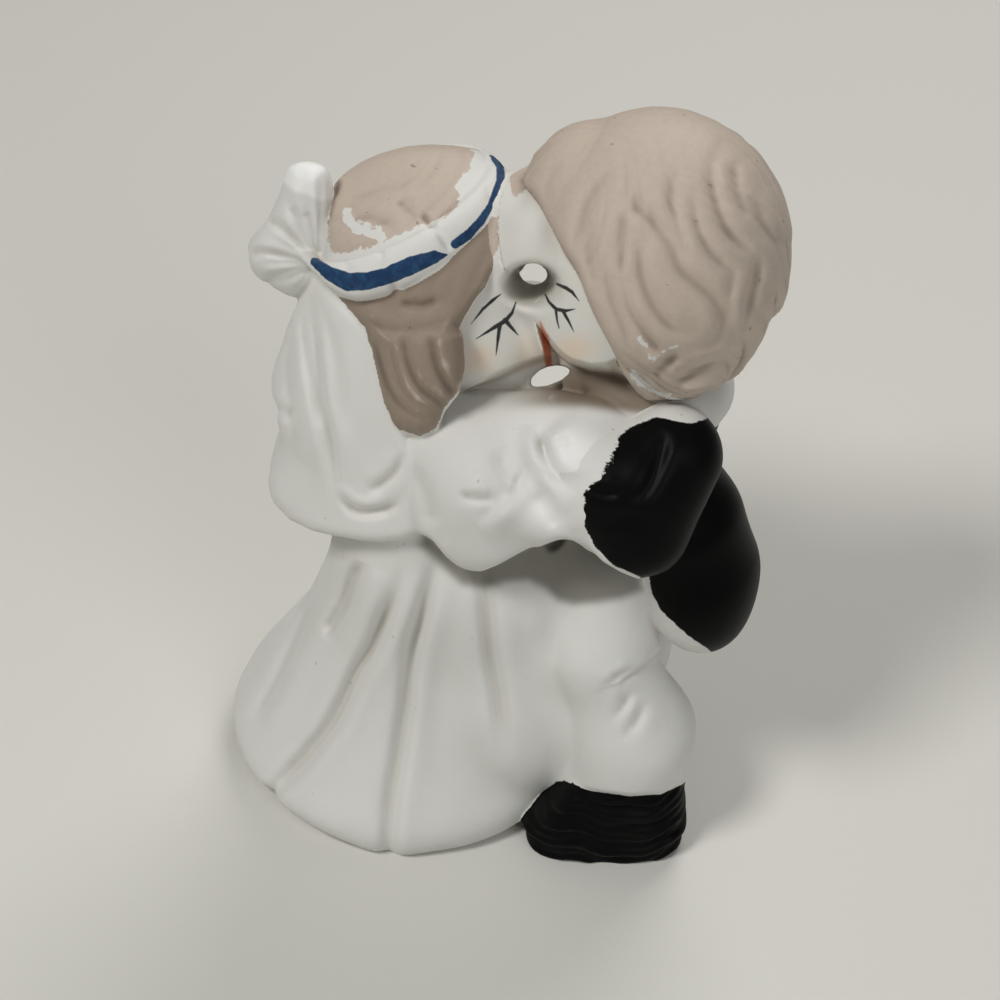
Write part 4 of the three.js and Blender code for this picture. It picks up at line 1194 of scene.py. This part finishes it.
def mat_face(name, strokes):
    p = Paint(name, 0.6)
    c = p.mix(p.ramp(p.noise(0.12, 3), 0.3, 0.75, 0.0, 0.4), CREAM, (0.73, 0.715, 0.66))
    U, V = p.seen()[0], p.seen()[1]
    for x, y, rx, ry, k, col in BLUSH:
        du = p.math("MULTIPLY", p.math("SUBTRACT", U, x), 1 / rx)
        dv = p.math("MULTIPLY", p.math("SUBTRACT", V, y), 1 / ry)
        d = p.math("SQRT", p.math("MULTIPLY_ADD", du, du, p.math("MULTIPLY", dv, dv)))
        c = p.mix(p.ramp(d, 1.0, 0.0, 0.0, k), c, col)
    # painted shade in the hollows of the faces
    c = p.mix(p.ramp(p.attr("cav"), -0.05, -0.32, 0.0, 0.40), c, (0.50, 0.40, 0.29))
    # painted shade in the pit between the noses and on the recessed forehead
    c = p.mix(p.ramp(p.attr("pit"), 0.0, 1.0, 0.0, 0.42), c, (0.36, 0.32, 0.25))
    # painted brown shade under the chins
    c = p.mix(p.ramp(p.attr("stain"), 0.0, 1.0, 0.0, 0.88), c, (0.155, 0.105, 0.06))
    d = p.stroke([(540, 322), (545, 337), (547, 350), (549, 366)], [0.6, 3.4, 4.2, 3.2])
    c = p.mix(p.ramp(d, 1.6, -1.6, 0.0, 0.9), c, (0.56, 0.135, 0.040))
    best = None
    for pts, w in strokes:
        s = p.stroke(pts, w)
        best = s if best is None else p.math("MINIMUM", best, s)
    wear = p.math("MULTIPLY", p.math("SUBTRACT", p.noise(1.5, 3), 0.5), 0.8)
    c = p.mix(p.ramp(p.math("ADD", best, wear), 0.55, -0.55, 0.0, 0.97), c, (0.008, 0.008, 0.010))
    n = p.math("MULTIPLY", p.math("SUBTRACT", p.noise(0.8, 5), 0.5), 1.4)
    c = p.mix(p.ramp(p.math("ADD", n, p.attr("hairline")), -0.08, 0.08), c, hair_color(p))
    p.color(c)
    p.b.inputs["Subsurface Weight"].default_value = 0.10
    p.b.inputs["Subsurface Radius"].default_value = (0.0012, 0.0008, 0.0005)
    grain(p, 0.07)
    return p.m


BRIDE_LINES = [
    ([(471, 324), (483, 309), (493, 300), (501, 294)], [0.3, 1.5, 1.7, 0.4]),
    ([(516, 302), (512, 313), (505, 321), (495, 327), (476, 339)], [0.5, 1.6, 2.3, 2.0, 0.4]),
    ([(500, 324), (498, 339), (496, 355)], [2.2, 1.6, 0.3]),
    ([(505, 320), (511, 327), (518, 335)], [2.4, 1.8, 0.4]),
]
GROOM_LINES = [
    ([(557, 284), (566, 288), (572, 292), (579, 301)], [1.2, 1.9, 1.7, 0.3]),
    ([(545, 294), (549, 302), (556, 309), (565, 311), (575, 309)], [0.6, 1.4, 1.9, 1.8, 0.3]),
    ([(556, 311), (557, 320), (559, 328)], [1.4, 1.0, 0.6]),
    ([(563, 311), (568, 320), (574, 332)], [1.7, 1.4, 0.3]),
]
PEACH = (0.80, 0.56, 0.34)
BLUSH = [(478, 358, 34, 26, 0.42, PEACH), (580, 348, 30, 24, 0.34, PEACH), (528, 352, 26, 30, 0.30, PEACH), (566, 352, 24, 26, 0.30, PEACH)]

# ------------------------------------------------------------------ build
with ThreadPoolExecutor(4) as pool:
    SHAPES = dict(zip(PIECES, pool.map(sculpt, PIECES)))
bisque = mat_bisque()


def gauss(uv, x, y, rx, ry):
    return np.exp(-(((uv[0] - x) / rx) ** 2) - (((uv[1] - y) / ry) ** 2))


SLEEVE_BLACK = [(622, 432), (642, 422), (657, 417), (671, 420), (691, 424), (716, 415), (745, 400), (745, 570), (690, 590), (652, 590), (640, 577), (613, 565),
                (595, 547), (584, 525), (583, 508), (586, 491), (600, 478), (610, 464), (615, 449)]
JACKET_BLACK = [(648, 570), (650, 585), (653, 597), (663, 613), (677, 626), (690, 637), (704, 646), (740, 675), (820, 620), (820, 395), (700, 395), (680, 540)]
CROWN = [(334, 188), (328, 210), (327, 235), (334, 253), (344, 254), (360, 250), (380, 245), (389, 238), (410, 231), (429, 222), (448, 214), (459, 203), (457, 193), (452, 188),
         (462, 179), (471, 163), (474, 153), (467, 144), (430, 128), (380, 128), (340, 150)]


def sleeve_paint(P, uv):
    uv = seen(shifted(P, 4.6, 0.9))
    return poly(uv[0], uv[1], SLEEVE_BLACK) / 9.0


def sleeve_rag(P, uv):
    uv = seen(shifted(P, 4.6, 0.9))
    return 0.5 + 2.2 * gauss(uv, 600, 465, 45, 50)


def jacket_paint(P, uv):
    return np.minimum(poly(uv[0], uv[1], JACKET_BLACK) / 9.0, np.minimum(64.0 - P[2], P[0] - 15.5))


def flat_rag(P, uv):
    return np.full(len(P[0]), 0.5)


def crown_paint(P, uv):
    return poly(uv[0], uv[1], CROWN) / 9.0


def streak(uv, pts, w):
    return (w - line(uv[0], uv[1], bent(pts))) / 9.0


def bride_bare(P, uv5):
    uv = seen(P)
    patch = np.maximum(streak(uv, [(347, 213), (351, 224), (362, 231), (374, 234), (382, 237)], 4.4), streak(uv, [(361, 221), (371, 225), (380, 228)], 1.2))
    up = sstep(band_frame(P)[2], -1.0, 0.5)
    out = np.maximum(-crown_paint(P, uv5), np.minimum(patch, 0.8)) * up - 3.0 * (1 - up)
    edge = 0.35 - line(uv[0], uv[1], ROLL) / 9.0 * 0.45
    return np.maximum(out, np.where(up < 0.5, edge - 0.55, -3.0))


def under_band(P, uv):
    return -band_frame(P)[2]


def lock_bare(P, uv):
    tip = 0.9 - line(uv[0], uv[1], [(402, 436), (420, 441), (440, 433), (449, 411), (462, 395)]) / 6.0
    return np.maximum(tip, -3.0)


def groom_bare(P, uv):
    low = np.maximum(streak(uv, [(632, 372), (645, 386), (660, 394)], 2.5), streak(uv, [(664, 396), (690, 402), (722, 402)], 1.5))
    worn = np.maximum(streak(uv, [(640, 338), (646, 347), (650, 358)], 1.8), streak(uv, [(652, 362), (664, 352), (676, 346)], 0.6))
    return np.maximum(np.maximum(low, worn), -3.0)


def bride_hairline(P, uv):
    return np.minimum(-side(uv[0], uv[1], HAIRLINE_B) / 9.0 - 0.4, (uv[1] - 216) / 9.0)


def groom_hairline(P, uv):
    spill = poly(uv[0], uv[1], [(506, 160), (533, 158), (536, 192), (528, 188), (522, 193), (516, 197), (510, 186)]) / 9.0
    return np.maximum(side(uv[0], uv[1], HAIRLINE_G) / 9.0 - 0.3, spill)


# painted shade: the pit between the noses, and the forehead recessed between the heads
def pit_shade_mask(P, uv):
    d = np.hypot((uv[0] - 531) / 30.0, (uv[1] - 287) / 25.0)
    pit = (1 - sstep(d, 0.35, 1.10)) * (1 - sstep(-P[1], 8.0, 10.5))
    return np.maximum(pit, 0.30 * gauss(uv, 522, 232, 34, 46))


UNDER_CHIN = [(452, 424), (478, 404), (520, 382), (545, 368), (575, 366), (612, 372), (642, 389), (664, 404), (655, 416), (612, 410), (582, 406), (545, 407), (500, 411), (470, 420)]
UNDER_ARM = [(425, 532), (446, 552), (464, 566), (481, 567), (500, 560), (545, 535), (575, 532), (605, 556), (640, 574), (642, 590), (622, 598), (598, 602), (574, 604),
             (558, 600), (545, 588), (528, 580), (505, 582), (484, 588), (462, 584), (442, 566), (420, 545)]


# painted shadow cast by the arms on the skirt, bodice and thigh
def arm_shade(P, uv):
    return sstep(poly(uv[0], uv[1], UNDER_ARM), -10.0, 9.0)


# painted brown shade under the chins, stronger towards the groom
def chin_shade_mask(P, uv):
    return sstep(poly(uv[0], uv[1], UNDER_CHIN), -10.0, 9.0) * (0.25 + 0.75 * sstep(uv[0], 490, 585))


# painted light on the groom's hand and the bride's cuff
def arm_light_patch(P, uv):
    return 0.8 * np.maximum(gauss(uv, 568, 452, 36, 34), gauss(uv, 545, 508, 34, 28))


# painted light on the rosette's top lobe
def fan_top_light(P, uv):
    return sstep(poly(uv[0], uv[1], [(280, 180), (286, 168), (296, 160), (307, 157), (320, 159), (331, 166), (336, 178), (336, 200), (320, 202), (307, 195), (294, 192)]), -4.0, 5.0)


def shoe_paint(P, uv):
    return np.minimum((P[2] - 0.12) * 5.0, 3.0)


face_b = mat_face("bride_face_paint", BRIDE_LINES)
face_g = mat_face("groom_face_paint", GROOM_LINES)
black = mat_black("black_paint")
lock_m = mat_hair("lock_paint", BROWN, (0.17, 0.125, 0.095))
for n in ("bride_skirt", "bride_bodice", "bride_near_sleeve", "bride_far_sleeve", "bride_near_hand", "bride_far_hand", "veil_rosette", "veil",
          "groom_collar", "groom_near_hand", "groom_far_hand", "groom_near_leg", "groom_far_leg"):
    make(n, bisque, {"soot": arm_shade} if n in ("bride_skirt", "groom_near_leg") else {"stain": chin_shade_mask, "soot": arm_shade} if n == "bride_bodice" else {"stain": chin_shade_mask, "clean": arm_light_patch} if n in ("bride_near_sleeve", "bride_near_hand", "groom_near_hand", "groom_collar") else {"clean": fan_top_light} if n == "veil_rosette" else {})
make("bride_head", face_b, {"hairline": bride_hairline, "pit": pit_shade_mask, "stain": chin_shade_mask})
make("groom_head", face_g, {"hairline": groom_hairline, "pit": pit_shade_mask, "stain": chin_shade_mask})
make("bride_hair", mat_bride_hair(), {"bare": bride_bare, "under": under_band})
make("groom_hair", mat_hair("groom_hair_paint"), {"bare": groom_bare})
make("bride_headband", mat_band(), {"crown": crown_paint})
for n in ("bride_near_lock", "bride_far_lock"):
    make(n, lock_m, {"bare": lock_bare})
make("groom_jacket", black, {"paint": jacket_paint, "rag": flat_rag, "stain": chin_shade_mask})
for n in ("groom_near_sleeve", "groom_far_sleeve"):
    make(n, black, {"paint": sleeve_paint, "rag": sleeve_rag})
for n in ("groom_near_shoe", "groom_far_shoe"):
    make(n, black, {"paint": shoe_paint, "rag": flat_rag})

# ------------------------------------------------------------------ stage, light, camera
sc = bpy.context.scene
me = bpy.data.meshes.new("floor")
S = 3.0
me.from_pydata([(-S, -S, 0), (S, -S, 0), (S, S, 0), (-S, S, 0)], [], [(0, 1, 2, 3)])
floor = bpy.data.objects.new("floor", me)
sc.collection.objects.link(floor)
fp = Paint("floor_paint", 0.55)
fp.color((0.70, 0.69, 0.645))
me.materials.append(fp.m)

world = bpy.data.worlds.new("studio")
sc.world = world
world.use_nodes = True
bg = world.node_tree.nodes["Background"]
bg.inputs[0].default_value = (0.90, 0.90, 0.87, 1)
bg.inputs[1].default_value = 0.13


def lamp(name, loc, target, size, power, col):
    d = bpy.data.lights.new(name, "AREA")
    d.shape = "DISK"
    d.size = size
    d.energy = power
    d.color = col
    o = bpy.data.objects.new(name, d)
    z = (np.array(loc) - np.array(target)) / np.linalg.norm(np.array(loc) - np.array(target))
    x = np.cross((0, 0, 1.0), z)
    x /= np.linalg.norm(x)
    y = np.cross(z, x)
    o.matrix_world = Matrix(((x[0], y[0], z[0], loc[0]), (x[1], y[1], z[1], loc[1]), (x[2], y[2], z[2], loc[2]), (0, 0, 0, 1)))
    sc.collection.objects.link(o)


lamp("key", (-0.24, -0.38, 0.63), (0, 0, 0.05), 0.18, 2.75, (1.0, 0.99, 0.965))
lamp("fill", (0.40, -0.36, 0.42), (0, 0, 0.05), 0.35, 0.8, (0.97, 0.985, 1.0))
lamp("back", (0.05, 0.46, 0.52), (0, 0, 0.05), 0.40, 1.7, (1.0, 0.98, 0.95))

cam = bpy.data.cameras.new("view")
cam.sensor_width = 36.0
cam.lens = 36.0 * FOCAL / 1000.0
cam.clip_start = 0.005
cam.clip_end = 50
co = bpy.data.objects.new("view", cam)
p = (CP + SHIFT) / 1000.0
co.matrix_world = Matrix(((CR[0], CU[0], -CF[0], p[0]), (CR[1], CU[1], -CF[1], p[1]), (CR[2], CU[2], -CF[2], p[2]), (0, 0, 0, 1)))
sc.collection.objects.link(co)
sc.camera = co
sc.view_settings.view_transform = "Standard"
